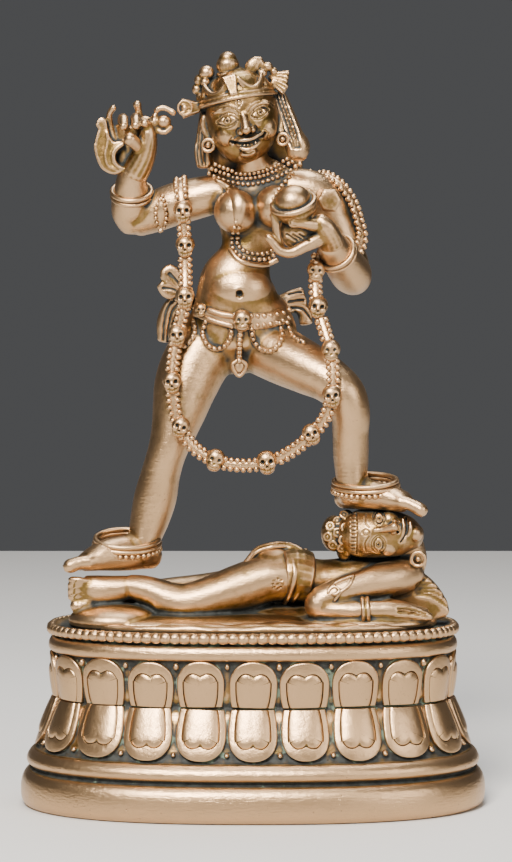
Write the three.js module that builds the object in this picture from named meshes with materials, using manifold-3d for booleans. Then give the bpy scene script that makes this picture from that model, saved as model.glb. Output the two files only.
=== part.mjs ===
// A small cast bronze of a dancing goddess who treads on a fallen figure, on a double lotus base.
// Millimetres, +Z up, seen from the front along +Y. The origin is under the middle of the base.
import * as THREE from "three";
import { mergeVertices } from "three/addons/utils/BufferGeometryUtils.js";
import Module from "manifold-3d";

const wasm = await Module();
wasm.setup();

// Driving dimensions
const footHalfWidth = 51.3;
const widthOverDepth = 20.8;
const planExponent = 2.45;
const middleHalfWidth = 46;
const baseTop = 39.4;
const plateTop = 41.5;
const petalCount = 21;

const bronze = new THREE.MeshStandardMaterial({ color: 0x9a7548, roughness: 0.42, metalness: 1 });
const darkBronze = new THREE.MeshStandardMaterial({ color: 0x8a6a42, roughness: 0.48, metalness: 1 });
const towardsViewer = [0, -1, 0];
const upwards = [0, 0, 1];

// A closed geometry as a solid, turned right side out
function solid(geometry) {
  const bare = geometry.clone();
  bare.deleteAttribute("normal");
  bare.deleteAttribute("uv");
  const merged = mergeVertices(bare, 1e-4);
  const index = merged.index.array;
  const corners = [];
  for (let i = 0; i < index.length; i += 3) {
    const [a, b, c] = index.slice(i, i + 3);
    if (a !== b && b !== c && a !== c) corners.push(a, b, c);
  }
  const vertProperties = merged.attributes.position.array;
  const build = (list) =>
    new wasm.Manifold(new wasm.Mesh({ numProp: 3, vertProperties, triVerts: new Uint32Array(list) }));
  const made = build(corners);
  return made.volume() > 0 ? made : build(corners.reverse());
}

function joined(pieces) {
  return pieces.flat(3).reduce((whole, piece) => whole.add(piece));
}

function meshOf(name, whole, material) {
  const { vertProperties, triVerts } = whole.getMesh();
  const geometry = new THREE.BufferGeometry();
  geometry.setAttribute("position", new THREE.BufferAttribute(vertProperties, 3));
  geometry.setIndex(new THREE.BufferAttribute(triVerts, 1));
  geometry.computeVertexNormals();
  const mesh = new THREE.Mesh(geometry, material);
  mesh.name = name;
  return mesh;
}

// Moves every vertex of a geometry by a function of its place and its number
function reshaped(geometry, place) {
  const position = geometry.attributes.position;
  const point = new THREE.Vector3();
  for (let i = 0; i < position.count; i++) {
    point.fromBufferAttribute(position, i);
    const moved = place(point, i);
    position.setXYZ(i, moved.x, moved.y, moved.z);
  }
  return geometry;
}

// A limb: the rows of a sphere moved to stations, each [x, y, z, half across, half deep].
// The deep half-size points along front, and the ends are rounded by tip times the last half-size.
function limb(stations, { sides = 6, front = towardsViewer, tip = 0.45 } = {}) {
  const rows = stations.length;
  const centres = stations.map(([x, y, z]) => new THREE.Vector3(x, y, z));
  const facing = new THREE.Vector3(...front);
  const frames = centres.map((centre, i) => {
    const before = centres[Math.max(i - 1, 0)];
    const after = centres[Math.min(i + 1, rows - 1)];
    const along = after.clone().sub(before).normalize();
    const deep = facing.clone().addScaledVector(along, -facing.dot(along)).normalize();
    return { centre, along, deep, across: along.clone().cross(deep) };
  });
  const place = (point, i) => {
    const row = Math.floor(i / (sides + 1));
    const turn = (2 * Math.PI * (i % (sides + 1))) / sides;
    const at = THREE.MathUtils.clamp(row - 1, 0, rows - 1);
    const { centre, along, deep, across } = frames[at];
    const [, , , halfAcross, halfDeep = halfAcross] = stations[at];
    if (row === 0 || row === rows + 1) {
      const way = row === 0 ? -1 : 1;
      return centre.clone().addScaledVector(along, way * tip * Math.min(halfAcross, halfDeep));
    }
    return centre
      .clone()
      .addScaledVector(across, halfAcross * Math.cos(turn))
      .addScaledVector(deep, halfDeep * Math.sin(turn));
  };
  return solid(reshaped(new THREE.SphereGeometry(1, sides, rows + 1), place));
}

// Three stations that raise a ring round a limb between two of its stations
function band(from, to, share, halfLong, grow) {
  const length = Math.hypot(to[0] - from[0], to[1] - from[1], to[2] - from[2]);
  return [-1, 0, 1].map((step) => {
    const at = share + (step * halfLong) / length;
    const mixed = (i) => THREE.MathUtils.lerp(from[i] ?? from[3], to[i] ?? to[3], at);
    const extra = step === 0 ? grow : 0;
    return [mixed(0), mixed(1), mixed(2), mixed(3) + extra, mixed(4) + extra];
  });
}

// A strand of even thickness through a few points
function strand(points, radius, steps, { sides = 3, front = towardsViewer } = {}) {
  const curve = new THREE.CatmullRomCurve3(points.map((p) => new THREE.Vector3(...p)));
  const stations = curve.getSpacedPoints(steps).map(({ x, y, z }) => [x, y, z, radius]);
  return limb(stations, { sides, front });
}

// A ball or egg, with half-sizes along X, Y and Z and a turn about Y
function ball([x, y, z], [halfX, halfY, halfZ], { sides = 5, rows = 3, turn = 0 } = {}) {
  const geometry = new THREE.SphereGeometry(1, sides, rows);
  geometry.rotateX(Math.PI / 2).scale(halfX, halfY, halfZ).rotateY(turn).translate(x, y, z);
  return solid(geometry);
}

// The plan of the lotus base, a full oval that is even all round
class PlanCurve extends THREE.Curve {
  getPoint(t) {
    const turn = 2 * Math.PI * t - Math.PI / 2;
    const bend = (value) => Math.sign(value) * Math.abs(value) ** (2 / planExponent);
    const x = middleHalfWidth * bend(Math.cos(turn));
    const y = (middleHalfWidth - widthOverDepth) * bend(Math.sin(turn));
    return new THREE.Vector3(x, y, 0);
  }
}
const plan = new PlanCurve();
plan.arcLengthDivisions = 2000;
const planLength = plan.getLength();

// A place on the plan grown or shrunk evenly to a half-width. Share runs once round from the front.
function onPlan(share, halfWidth, z) {
  if (halfWidth === 0) return new THREE.Vector3(0, 0, z);
  const even = ((share % 1) + 1) % 1;
  const along = plan.getTangentAt(even);
  const out = halfWidth - middleHalfWidth;
  return plan.getPointAt(even).add(new THREE.Vector3(along.y * out, -along.x * out, z));
}

// A profile of [half-width, height, swell] rows, from axis to axis, carried round the plan.
// A swell pushes the row out and in by turns, as a beaded edge does.
function roundPlan(profile, segments) {
  const outline = profile.map(([out, up]) => new THREE.Vector2(out, up));
  const place = (point, i) => {
    const [halfWidth, height, swell = 0] = profile[i % profile.length];
    const turn = Math.floor(i / profile.length);
    return onPlan(turn / segments, halfWidth + (turn % 2 ? swell : -swell), height);
  };
  return solid(reshaped(new THREE.LatheGeometry(outline, segments), place));
}

// The two fields of petals, below the waist and above it
const waist = { high: 23.9, half: 43 };
const lowerField = { low: 12.6, high: waist.high, halfLow: 47.2, halfHigh: waist.half };
const upperField = { low: waist.high, high: 34, halfLow: waist.half, halfHigh: 43.9 };

// The body's profile runs from under its middle, over the foot and the beaded rim, to its top
function baseBody() {
  const profile = [
    [0, 0],
    [footHalfWidth - 1.7, 0],
    [footHalfWidth, 3.8],
    [footHalfWidth - 2.1, 8.3],
    [footHalfWidth - 1.4, 10.1],
    [lowerField.halfLow, lowerField.low],
    [waist.half, waist.high],
    [upperField.halfHigh, upperField.high],
    [upperField.halfHigh + 1.4, 34.8],
    [upperField.halfHigh - 0.4, 37.5],
    [upperField.halfHigh + 1.5, 38.6, 0.15],
    [upperField.halfHigh + 0.4, baseTop + 0.7],
    [upperField.halfHigh - 1, baseTop],
    [0, baseTop],
  ];
  const segmentsPerPetal = 2;
  return roundPlan(profile, petalCount * segmentsPerPetal);
}

// One lotus petal: a cushion whose far end is round and whose near end is square at the waist
function petal(number, field, nearWay) {
  const sides = 6;
  const rowSpread = [0, 0.76, 1, 0];
  const rowRise = [1.35, 1, -0.4, -1.2];
  const halfWide = (0.455 * planLength) / petalCount;
  const gap = 0.3;
  const nearEnd = waist.high - nearWay * gap;
  const farEnd = nearWay > 0 ? field.low + gap : field.high - gap;
  const middle = (nearEnd + farEnd) / 2;
  const halfTall = (nearEnd - farEnd) / 2;
  const place = (point, i) => {
    const row = Math.floor(i / (sides + 1));
    const turn = (2 * Math.PI * ((i % (sides + 1)) + 0.5)) / sides;
    const far = Math.round(100 * Math.cos(turn)) / 100;
    const across = Math.sin(turn) * (far < 0 ? 1.7 : 1);
    const height = middle - rowSpread[row] * Math.sign(far) * halfTall;
    const level = THREE.MathUtils.clamp((height - field.low) / (field.high - field.low), 0, 1);
    const surface = THREE.MathUtils.lerp(field.halfLow, field.halfHigh, level);
    const share = number / petalCount + (rowSpread[row] * across * halfWide) / planLength;
    return onPlan(share, surface + rowRise[row], height);
  };
  return solid(reshaped(new THREE.SphereGeometry(1, sides, rowSpread.length - 1), place));
}

function lotusBase() {
  const petals = [];
  for (let i = 0; i < petalCount; i++) {
    petals.push(petal(i, lowerField, 1), petal(i, upperField, -1));
  }
  return joined([baseBody(), petals]);
}

// The ground plate under the figures, with a rounded edge
function groundPlate() {
  const profile = [[0, baseTop], [40.2, baseTop], [40.9, 40.5], [39.6, plateTop], [0, plateTop]];
  return roundPlan(profile, 21);
}

// The goddess's trunk from the crotch to the neck, with the girdle and the collars as raised rings
function trunk() {
  const hips = [-2.9, 3.2, 104.6, 12.2, 7.6];
  const belly = [-3.1, 1.4, 111.6, 9.4, 7.2];
  const shoulders = [1.3, 3.3, 136, 10.4, 4.7];
  const neckFoot = [0, 1.8, 140.6, 4.2, 3.9];
  const body = limb(
    [
      [-3.1, 4, 97.5, 6, 5],
      [-3, 4, 100.8, 12.2, 7.4],
      hips,
      ...band(hips, belly, 0.5, 1.9, 1.2),
      belly,
      [-2.9, 1.2, 116.3, 8.2, 6.4],
      [-1.3, 2.2, 121.4, 5.7, 4.9],
      [-0.1, 2.6, 126.7, 8, 5.4],
      [0.9, 3, 131.6, 10.4, 5.6],
      shoulders,
      ...band(shoulders, neckFoot, 0.5, 1.1, 1.1),
      neckFoot,
      [-0.7, 0, 145, 3.5, 3.5],
    ],
    { sides: 8 },
  );
  const breast = [4.9, 4.9, 4.9];
  return [
    body,
    ball([-3.9, -2.9, 130], breast, { sides: 7, rows: 4 }),
    ball([5.3, -2.9, 131], breast, { sides: 7, rows: 4 }),
  ];
}

// The head leans to her right, so its stations climb towards -X
function head() {
  const skull = limb(
    [
      [-0.4, -4.5, 141.6, 2.6, 2.8],
      [-0.9, -2.6, 143.9, 5.2, 5.6],
      [-1.9, -1.4, 147.3, 7.4, 7.6],
      [-2.7, -1, 150.8, 7.9, 8.4],
      [-3.7, -0.6, 155, 7.5, 8.4],
      [-4.8, -0.3, 159.2, 4.8, 5.8],
    ],
    { sides: 9 },
  );
  const lean = -0.22;
  const eye = [1.9, 0.9, 1.1];
  const ear = (x, z) => limb([[x, 0.4, z, 1, 1.6], [x * 0.96, -0.4, z - 4.2, 1.3, 1.3]], { sides: 5 });
  return [
    skull,
    limb([[-1.7, -8.9, 151.8, 0.7], [-1, -9.8, 148.2, 1.6, 1.1]], { sides: 5 }),
    ball([-4.6, -8.1, 150.2], eye, { turn: lean }),
    ball([1.8, -8, 151.6], eye, { turn: lean }),
    ball([-0.6, -7.6, 145.7], [2.5, 1, 0.9], { turn: lean }),
    ear(-10.1, 148.4),
    ear(5.8, 149.2),
  ];
}

// The hair falls in a broad mass down the back, with a lock beside each cheek
function hair() {
  const fall = limb(
    [
      [-4.2, 4, 158, 5, 4],
      [-2.6, 6, 153, 8.4, 5],
      [-0.4, 7.8, 145, 10.6, 4.4],
      [0.8, 8.4, 138, 10.4, 3],
      [0.9, 8.4, 133, 7.4, 2.2],
    ],
    { sides: 8 },
  );
  const leftLock = limb(
    [
      [5, 1, 157, 2, 2.2],
      [8.2, 0.2, 150.4, 2.5, 2.5],
      [9.9, -0.8, 144.8, 3.1, 2.6],
      [9.7, -1.2, 142.4, 2.4],
    ],
    { sides: 5 },
  );
  const rightCurls = [[-10.2, 2.4, 147, 1.7], [-11, 2.4, 143.2, 2.1], [-10.6, 2.6, 140.6, 1.8]];
  const rightLock = limb(rightCurls, { sides: 4 });
  return [fall, leftLock, rightLock];
}

// A tied ribbon end that opens like a fan
function ribbonFan(start, end, halfWide) {
  return limb([[...start, 0.8], [...end, halfWide, 0.7]], { sides: 4, tip: 0.2 });
}

// The diadem: a band of leaves, the broadest over the brow, and jewelled knobs above
function crown() {
  const lean = -0.22;
  const bandStations = [];
  const bandSteps = 6;
  for (let i = 0; i <= bandSteps; i++) {
    const turn = Math.PI * (0.98 + (1.04 * i) / bandSteps);
    const [x, y] = [8.6 * Math.cos(turn), 9 * Math.sin(turn)];
    bandStations.push([x - 3.9, y - 0.6, 155.2 + 0.2 * x, 1.1]);
  }
  const knobs = [
    [-5.4, -3.4, 161.9, 2.5],
    [-10, -3, 159.2, 1.9],
    [1.1, -3, 160.8, 1.9],
    [3.4, -2, 159, 1.5],
  ];
  const leaves = [
    [-4.2, -8.4, 157.8, 3.2, 3.3],
    [-9.4, -5.8, 156.6, 1.9, 2.8],
    [1.4, -7, 158.6, 1.9, 2.8],
  ];
  return [
    limb(bandStations, { sides: 3, front: upwards }),
    knobs.map(([x, y, z, radius]) => ball([x, y, z], [radius, radius, radius])),
    leaves.map(([x, y, z, wide, tall]) => {
      return ball([x, y, z], [wide, 1.6, tall], { sides: 4, rows: 2, turn: lean });
    }),
    ribbonFan([-8.6, 1.6, 153], [-14.9, 1.6, 153.2], 2.5),
    ribbonFan([0, 2.4, 156.6], [7.8, 2.6, 159.8], 2.4),
  ];
}

// Her right arm is held out level, with the forearm raised and leaning forwards
function rightArm() {
  const middle = [-16.6, 4, 132, 4.8];
  const elbow = [-25, 5.4, 129, 4.5];
  const lowForearm = [-26.6, 4, 131.2, 4.6];
  const wrist = [-26.7, 0.2, 138.2, 3.2];
  return [
    limb([[-7, 3, 133.9, 4.4], middle, ...band(middle, elbow, 0.5, 1, 1), elbow]),
    limb([[-26.2, 5.8, 127.6, 3.6], lowForearm, ...band(lowForearm, wrist, 0.66, 1.1, 1.1), wrist]),
  ];
}

// The raised hand wraps the handle: a heel that climbs into a finger, two curled fingers and a thumb
function rightHand() {
  const heel = [
    [-25.8, 0, 138.4, 2.7],
    [-23.8, -1.4, 142.6, 2.8],
    [-22.9, -2.5, 147, 1.7],
    [-23.4, -3.2, 149.2, 1.1],
  ];
  const curledFinger = (x) => {
    return limb([[x, 0.6, 149.6, 1.3], [x, -3.6, 149.4, 1.3]], { sides: 4, front: upwards });
  };
  return [
    limb(heel, { sides: 5 }),
    limb([[-27.4, 1, 138.6, 2.6, 1.6], [-27.2, 1, 149, 3.6, 1.8]], { sides: 5 }),
    curledFinger(-28.2),
    curledFinger(-25.4),
    limb([[-24.6, -2, 143.6, 1.4], [-26.8, -4, 145.8, 1.5]], { sides: 4 }),
  ];
}

// The flaying knife: a deep crescent blade with hooked tips, and a handle that ends in prongs
function flayingKnife() {
  const thick = 3.4;
  const blade = new THREE.Shape();
  blade.moveTo(-28, 139.2);
  blade.quadraticCurveTo(-34.8, 136.6, -34.8, 144.4);
  blade.lineTo(-34.4, 149.4);
  blade.quadraticCurveTo(-32.6, 152, -31.9, 148.6);
  blade.lineTo(-30.6, 145.3);
  blade.lineTo(-27.6, 145.7);
  blade.quadraticCurveTo(-32, 142.6, -28, 139.2);
  const thickened = { depth: thick, bevelEnabled: false, curveSegments: 4 };
  const bladeGeometry = new THREE.ExtrudeGeometry(blade, thickened);
  bladeGeometry.rotateX(Math.PI / 2);
  const prong = (points) => strand(points, 0.65, 3);
  return [
    solid(bladeGeometry),
    strand([[-30.6, 0, 145.4], [-31.5, 0, 149.4], [-31.4, -0.2, 151.9], [-30.1, -0.4, 152.8]], 0.9, 3),
    limb([[-25.1, 0.4, 149.6, 1.2], [-25.2, 0, 152, 0.8], [-25.4, -0.4, 153.5, 1]], { sides: 4 }),
    limb([[-24, -0.8, 149.8, 1.3], [-21.4, -2, 149.8, 1.2], [-18.6, -2.4, 149.7, 1.5]], { sides: 5 }),
    prong([[-21.9, -2, 150.4], [-21.2, -2.3, 152.3], [-18.9, -2.5, 152.2], [-17.9, -2.5, 150.2]]),
    prong([[-21.6, -2, 149], [-20.4, -2.3, 147.6], [-18.8, -2.5, 147.8], [-17.9, -2.5, 149.8]]),
  ];
}

// Her left arm hangs to the elbow, and the forearm comes forwards across the body
function leftArm() {
  const shoulder = [14.6, 3.4, 133.6, 4.8];
  const inner = [21.2, 1.6, 117.4, 4.5];
  const wrist = [16.8, -9.2, 123, 3];
  return [
    limb([[8.5, 3, 135, 4.4], shoulder, [17.9, 4, 128.2, 4.5], [21.3, 4, 118.3, 4.2]]),
    limb([[22.3, 4.8, 116, 3.6], inner, ...band(inner, wrist, 0.75, 1.1, 1.1), wrist], { front: upwards }),
  ];
}

// The left hand cradles the bowl: a palm, a thumb, a bent finger and an upright one
function leftHand() {
  return [
    limb([[16.9, -9, 123.2, 2.9, 2.4], [14.6, -12, 126.6, 2.8, 2]], { sides: 5 }),
    limb([[14.8, -12, 126.9, 1.7], [8.6, -14.8, 127.2, 1.15]], { sides: 4 }),
    limb([[14.8, -11.6, 124.3, 1.6], [7.4, -13.6, 121, 1.1], [3.4, -13.6, 124.2, 0.9]], { sides: 4 }),
    limb([[5.6, -12.8, 122.2, 1], [4.9, -13, 129.8, 0.9]], { sides: 4 }),
    limb([[9, -1.5, 126, 2.4], [9.9, -11.4, 126, 4.2, 3.6]], { sides: 5, front: upwards }),
  ];
}

// The skull bowl, heaped full, tips its mouth towards the viewer; a stub of a lost staff stands by it
function skullBowl() {
  const profile = [[0, -3.3], [3.4, -2], [5, 0.6], [4.1, 0.5], [2.8, 1.5], [0, 2.1]];
  const geometry = new THREE.LatheGeometry(profile.map(([out, up]) => new THREE.Vector2(out, up)), 8);
  const tipForward = (62 * Math.PI) / 180;
  const tipSide = (-14 * Math.PI) / 180;
  geometry.rotateX(tipForward).rotateY(tipSide).translate(8.9, -13.4, 132.2);
  const staffStub = limb([[15.6, 1, 134, 2.2], [16.1, -8, 131.4, 2.6]], { sides: 5, front: upwards });
  return [solid(geometry), staffStub];
}

// Both legs, with a thick beaded anklet at the foot of each
function legs() {
  const straightShin = [-23.3, -1.2, 61.3, 4.1, 4.2];
  const straightAnkle = [-25.4, -2.4, 51.2, 3, 3.2];
  const straight = limb(
    [
      [-8.4, 3.6, 101, 7.4, 6.4],
      [-12.8, 1.8, 97, 7.2, 6.4],
      [-15, 0.2, 91.2, 6.6, 6],
      [-17.2, -1.2, 83.3, 5.1, 5],
      [-18.7, -1.6, 78.5, 4.1, 4.5],
      [-20.4, -1.2, 72.3, 4.2, 4.7],
      [-21.6, -0.8, 66.8, 4.6, 4.8],
      straightShin,
      ...band(straightShin, straightAnkle, 0.5, 1.5, 2.6),
      straightAnkle,
    ],
    { sides: 7 },
  );
  const bentShin = [21.6, -6, 72.5, 3.4, 3.7];
  const bentAnkle = [21.8, -6.2, 66.4, 3, 3.2];
  const bent = limb(
    [
      [1.5, 3.4, 100.6, 6.6, 6.2],
      [9, -1.8, 97, 6, 6.4],
      [16.4, -6.6, 93.6, 5.2, 5.4],
      [20.1, -7.8, 90.2, 4.5, 4.8],
      [21, -7, 85, 4, 4.6],
      [21.3, -6, 78.5, 3.8, 4.5],
      bentShin,
      ...band(bentShin, bentAnkle, 0.5, 1.5, 2.5),
      bentAnkle,
    ],
    { sides: 7 },
  );
  return [straight, bent];
}

// Five toes in a row, the first of them the big toe
function toes(first, step, halfLong) {
  return [0, 1, 2, 3, 4].map((i) => {
    const middle = first.map((value, axis) => value + i * step[axis]);
    const radius = i === 0 ? 1.1 : 0.72;
    return ball(middle, [halfLong - 0.15 * i, radius, radius], { sides: 4, rows: 2 });
  });
}

function feet() {
  const right = [
    [-21.4, 0.8, 53.2, 2.6, 2.6],
    [-26, -2, 53.6, 3.2, 3.1],
    [-32, -4.4, 53.2, 2.4, 3.4],
    [-38, -6, 52.4, 1.5, 3.6],
  ];
  const left = [
    [20, -2.8, 66.8, 2.1, 2.6],
    [24.4, -6, 67.4, 2.7, 3.1],
    [30, -8.6, 66.8, 2.3, 3.4],
    [34.4, -10, 65.6, 1.5, 3.6],
  ];
  return [
    limb(right, { tip: 0.3 }),
    toes([-39, -8.8, 52.1], [0.15, 1.45, 0], 2.4),
    limb(left, { tip: 0.3 }),
    toes([35, -12.6, 65.2], [0.2, 1.45, 0.1], 2.2),
  ];
}

// The long necklace that frames the breasts and hangs to the waist
function necklace() {
  const points = [
    [8.8, -1, 138.2],
    [5.8, -7.8, 132.6],
    [6.2, -6.2, 126],
    [5.2, -3.6, 121.4],
    [0.6, -3.6, 119],
    [-4.2, -4.2, 124],
    [-3.9, -7.4, 129.6],
    [-4.4, -6.6, 133],
    [-7.2, -1.4, 136.8],
  ];
  return strand(points, 1, 12);
}

// The hung loops of the girdle, its two skull clasps and its leaf pendant
function girdleSwags() {
  const swag = (points, steps) => strand(points, 0.9, steps);
  const rightLoop = [
    [-10.8, -3.4, 106],
    [-11.2, -4, 102.6],
    [-8.4, -4.6, 100.4],
    [-5.2, -4.2, 102],
    [-4.8, -4.4, 105.2],
  ];
  const leftLoop = [
    [-0.4, -4.2, 105.2],
    [0.4, -3.8, 101.6],
    [3.6, -4, 100],
    [6.2, -4.2, 102],
    [6.4, -2.8, 105.4],
  ];
  return [
    ball([-2.6, -5.9, 106.8], [2.3, 1.7, 2.4]),
    ball([-11.4, -2.8, 108.2], [2, 2, 2]),
    swag(rightLoop, 4),
    swag(leftLoop, 4),
    limb([[-2.8, -4.8, 104.6, 0.8], [-3, -4, 97.4, 1.5, 1], [-2.9, -3.6, 94.6, 0.6]], { sides: 4 }),
  ];
}

// The sash: a bow and a hanging end at her right hip, and an end that flies out at her left
function sash() {
  return [
    limb([[-12, 5, 110.6, 2, 1.6], [-17, 4.4, 114, 2.6, 1.2], [-20, 3.4, 114.8, 2.6, 0.9]], { sides: 5 }),
    limb([[-12, 6, 109.6, 2.2, 2], [-18, 6.4, 107.6, 2.6, 1.5], [-19.4, 6, 101.6, 1.8, 1.2]], { sides: 5 }),
    limb([[5, 7, 108.6, 2.4, 2], [11.4, 7.4, 110.4, 2.5, 0.9]], { sides: 5 }),
  ];
}

// The garland of skulls hangs from both arms and loops in front of the knees
const garlandSkulls = [
  [-15.3, -2.6, 130],
  [-14.9, -3.4, 122.4],
  [-14.8, -6.6, 111.2],
  [-16.5, -6, 103],
  [-17.6, -6.9, 92.8],
  [-15.9, -7.6, 83],
  [-8.2, -9, 75.9],
  [3, -11, 75.5],
  [12.7, -13, 81.7],
  [17, -13.6, 90],
  [16.8, -12.6, 99.8],
  [14.1, -9.4, 109.1],
  [13.9, -6.6, 116.6],
];

function garland() {
  const linkHalf = [1.15, 0.85];
  const skullHalf = [2.4, 2.1];
  const skullSteps = [[-2.7, linkHalf], [0, skullHalf], [2.7, linkHalf]];
  const start = [-16.2, 0.4, 136.2];
  const end = [15.4, -1.6, 120.6];
  const path = new THREE.CatmullRomCurve3([start, ...garlandSkulls, end].map((p) => new THREE.Vector3(...p)));
  const lastPoint = garlandSkulls.length + 1;
  const hanging = garlandSkulls.flatMap((centre, i) => {
    const along = path.getTangent((i + 1) / lastPoint).toArray();
    return skullSteps.map(([step, half]) => {
      const middle = centre.map((value, axis) => value + along[axis] * step);
      return [...middle, ...half];
    });
  });
  const behindRight = [-15.6, 8.4, 134.6];
  const behindLeft = [13.4, 6, 138.4];
  const overRightArm = [[-15.3, -1.6, 133.2], [-16.2, 0.4, 136.6], [-16.4, 5, 137.4], behindRight];
  const overLeftArm = [
    [14.6, -3.6, 119.4],
    [20.6, -0.6, 120.6],
    [23.6, 3, 123.4],
    [22.4, 3, 129],
    [19, 3, 135.6],
    behindLeft,
  ];
  const acrossBack = [behindRight, [-8, 10, 132.4], [0, 11.8, 132.6], [8, 10.8, 135.6], behindLeft];
  return [
    limb([[...start, ...linkHalf], ...hanging, [...end, ...linkHalf]], { sides: 4 }),
    strand(overRightArm, 1.2, 3, { front: [1, 0, 0] }),
    strand(overLeftArm, 1.3, 6, { front: [0, -0.6, 0.8] }),
    strand(acrossBack, 1.2, 5, { front: upwards }),
  ];
}

// The fallen figure lies with its legs to the left and its head bent back over its shoulders.
// Its waist cloth is a raised ring.
function fallenBody() {
  const hip = [3.4, -3, 48.4, 6, 7];
  const ribs = [16, -1.6, 47.8, 5.8, 6.9];
  const nearLeg = [
    [-28, -4.6, 47.4, 2.8, 3.1],
    [-23.4, -5.6, 46.7, 3.4, 3.6],
    [-18.6, -7, 45.5, 4, 4.1],
    [-14.6, -7.6, 45.1, 4.2, 4.3],
    [-9, -7, 45.9, 4.6, 4.8],
    [-2, -5.6, 47.4, 5.4, 5.6],
  ];
  const trunk = [
    hip,
    ...band(hip, ribs, 0.45, 1.6, 0.8),
    ribs,
    [26, -1, 48, 6.2, 7.4],
    [34.5, 0, 47.4, 4.6, 5.6],
  ];
  const farLeg = [
    [-36, 2.6, 44.6, 3.2, 2.8],
    [-27, 3, 45.4, 3.4, 3],
    [-10, 3.6, 45.6, 4.6, 4.6],
    [5, 2.4, 47.4, 5.6, 5.4],
  ];
  return [
    limb([...nearLeg, ...trunk], { sides: 7 }),
    limb(farLeg, { sides: 5 }),
    strand([[-3.4, -8.4, 51.2], [1.2, -7, 54.2], [6.6, -5, 55.2]], 0.9, 2),
  ];
}

// Its near foot lies on its side, so the toes are stacked from the sole up
function fallenFeet() {
  const near = [[-27, -4.8, 47.2, 3.2, 3.3], [-31.3, -5.4, 46.9, 4, 3.5], [-35.4, -5.8, 46.7, 4, 3.2]];
  return [
    limb(near, { tip: 0.2 }),
    toes([-37.2, -7, 43.6], [0.1, 0, 1.5], 2.8),
  ];
}

// Its arms reach forwards under the body, the hands together, with a scarf spread behind
function fallenArms() {
  const upperArm = [
    [33.2, -4.4, 49.8, 4.2],
    [29.4, -8, 49.2, 4],
    [20, -10.6, 47.2, 3.3],
    [14, -11, 45.2, 2.9],
  ];
  const middle = [21.7, -12.5, 43.7, 2.1];
  const wrist = [30, -12.4, 43.5, 2.1, 1.6];
  const forearm = [
    [13, -11.2, 44.6, 2.7],
    middle,
    ...band(middle, wrist, 0.35, 0.9, 0.6),
    wrist,
    [37.3, -11.6, 42.6, 1.1],
  ];
  return [
    limb(upperArm),
    limb(forearm, { sides: 5 }),
    limb([[24, -9.4, 44, 2.2, 1.8], [37.6, -8.6, 42.8, 1.3]], { sides: 4 }),
    limb([[33.5, 0, 49, 4, 4], [38.6, -0.6, 46.4, 3.8, 3.2], [41.4, -1.2, 42.8, 2.2, 2.6]], { sides: 5 }),
  ];
}

// Its face looks at the viewer, turned on its side, with the crown of the head to the left
function fallenHead() {
  const hairKnot = [[20.4, -3.4, 59.4, 3.8, 4], [18, -3.2, 59.3, 4.5, 4.4], [15.4, -3.2, 59.1, 3.2]];
  const skull = [
    [20.6, -4, 59.5, 4, 4.6],
    [23.2, -4.6, 59.5, 5.4, 5.7],
    [28, -5, 59.5, 5.7, 6.2],
    [33, -5.2, 59.1, 4.9, 5.5],
    [36, -5.2, 58.5, 2.8, 3.4],
  ];
  return [
    limb([[33, -0.6, 49, 4], [35.4, -1.4, 53, 3.5], [33.6, -2.4, 56.6, 3.8]], { sides: 5 }),
    limb(skull, { sides: 7 }),
    limb(hairKnot),
    limb([[28, -10.8, 59.7, 0.7], [31.4, -11.2, 59.6, 1.4, 1.1]], { sides: 4 }),
    ball([27.9, -9.9, 62.1], [0.9, 0.9, 1.6]),
    ball([28.1, -10.1, 56.9], [0.9, 0.9, 1.6]),
    ball([34.8, -4.2, 54], [1.6, 1.5, 1.8]),
  ];
}

const figures = joined([
  groundPlate(),
  trunk(),
  head(),
  hair(),
  crown(),
  rightArm(),
  rightHand(),
  flayingKnife(),
  leftArm(),
  leftHand(),
  skullBowl(),
  legs(),
  feet(),
  necklace(),
  girdleSwags(),
  sash(),
  garland(),
  fallenBody(),
  fallenFeet(),
  fallenArms(),
  fallenHead(),
]);

const statue = new THREE.Group();
statue.add(meshOf("lotus_base", lotusBase(), darkBronze));
statue.add(meshOf("goddess_and_fallen_figure", figures, bronze));

export default statue;
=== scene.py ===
# A small cast bronze: a dancing goddess who treads on a fallen figure, on a double lotus base.
# Pieces are modelled in millimetres in the part's own frame and brought to metres when they are finished.
import math
import random
import bmesh
import bpy
import numpy as np
from mathutils import Matrix, Vector
from mathutils.bvhtree import BVHTree


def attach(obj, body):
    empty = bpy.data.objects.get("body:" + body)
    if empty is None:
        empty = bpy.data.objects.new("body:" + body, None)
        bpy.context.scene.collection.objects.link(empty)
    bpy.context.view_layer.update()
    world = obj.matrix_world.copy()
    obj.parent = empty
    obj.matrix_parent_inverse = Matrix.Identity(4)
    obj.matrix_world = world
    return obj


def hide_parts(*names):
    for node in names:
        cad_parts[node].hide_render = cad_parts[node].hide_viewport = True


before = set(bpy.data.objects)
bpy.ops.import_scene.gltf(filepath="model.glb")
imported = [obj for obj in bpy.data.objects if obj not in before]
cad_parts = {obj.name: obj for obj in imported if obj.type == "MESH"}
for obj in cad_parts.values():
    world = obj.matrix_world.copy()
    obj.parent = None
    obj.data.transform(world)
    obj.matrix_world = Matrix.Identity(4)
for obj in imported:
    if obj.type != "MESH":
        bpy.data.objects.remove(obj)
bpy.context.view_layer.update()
print("frame loaded", sorted(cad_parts))

millimetre = 0.001
towardsViewer = (0, -1, 0)
upwards = (0, 0, 1)
finished = []                                            # left empty; the patina at the end takes its pieces from the everything table


# Selecting, joining and finishing
def only(*objs):
    if bpy.context.mode != "OBJECT":
        bpy.ops.object.mode_set(mode="OBJECT")
    bpy.ops.object.select_all(action="DESELECT")
    for obj in objs:
        obj.select_set(True)
    bpy.context.view_layer.objects.active = objs[0]
    return objs[0]


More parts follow.
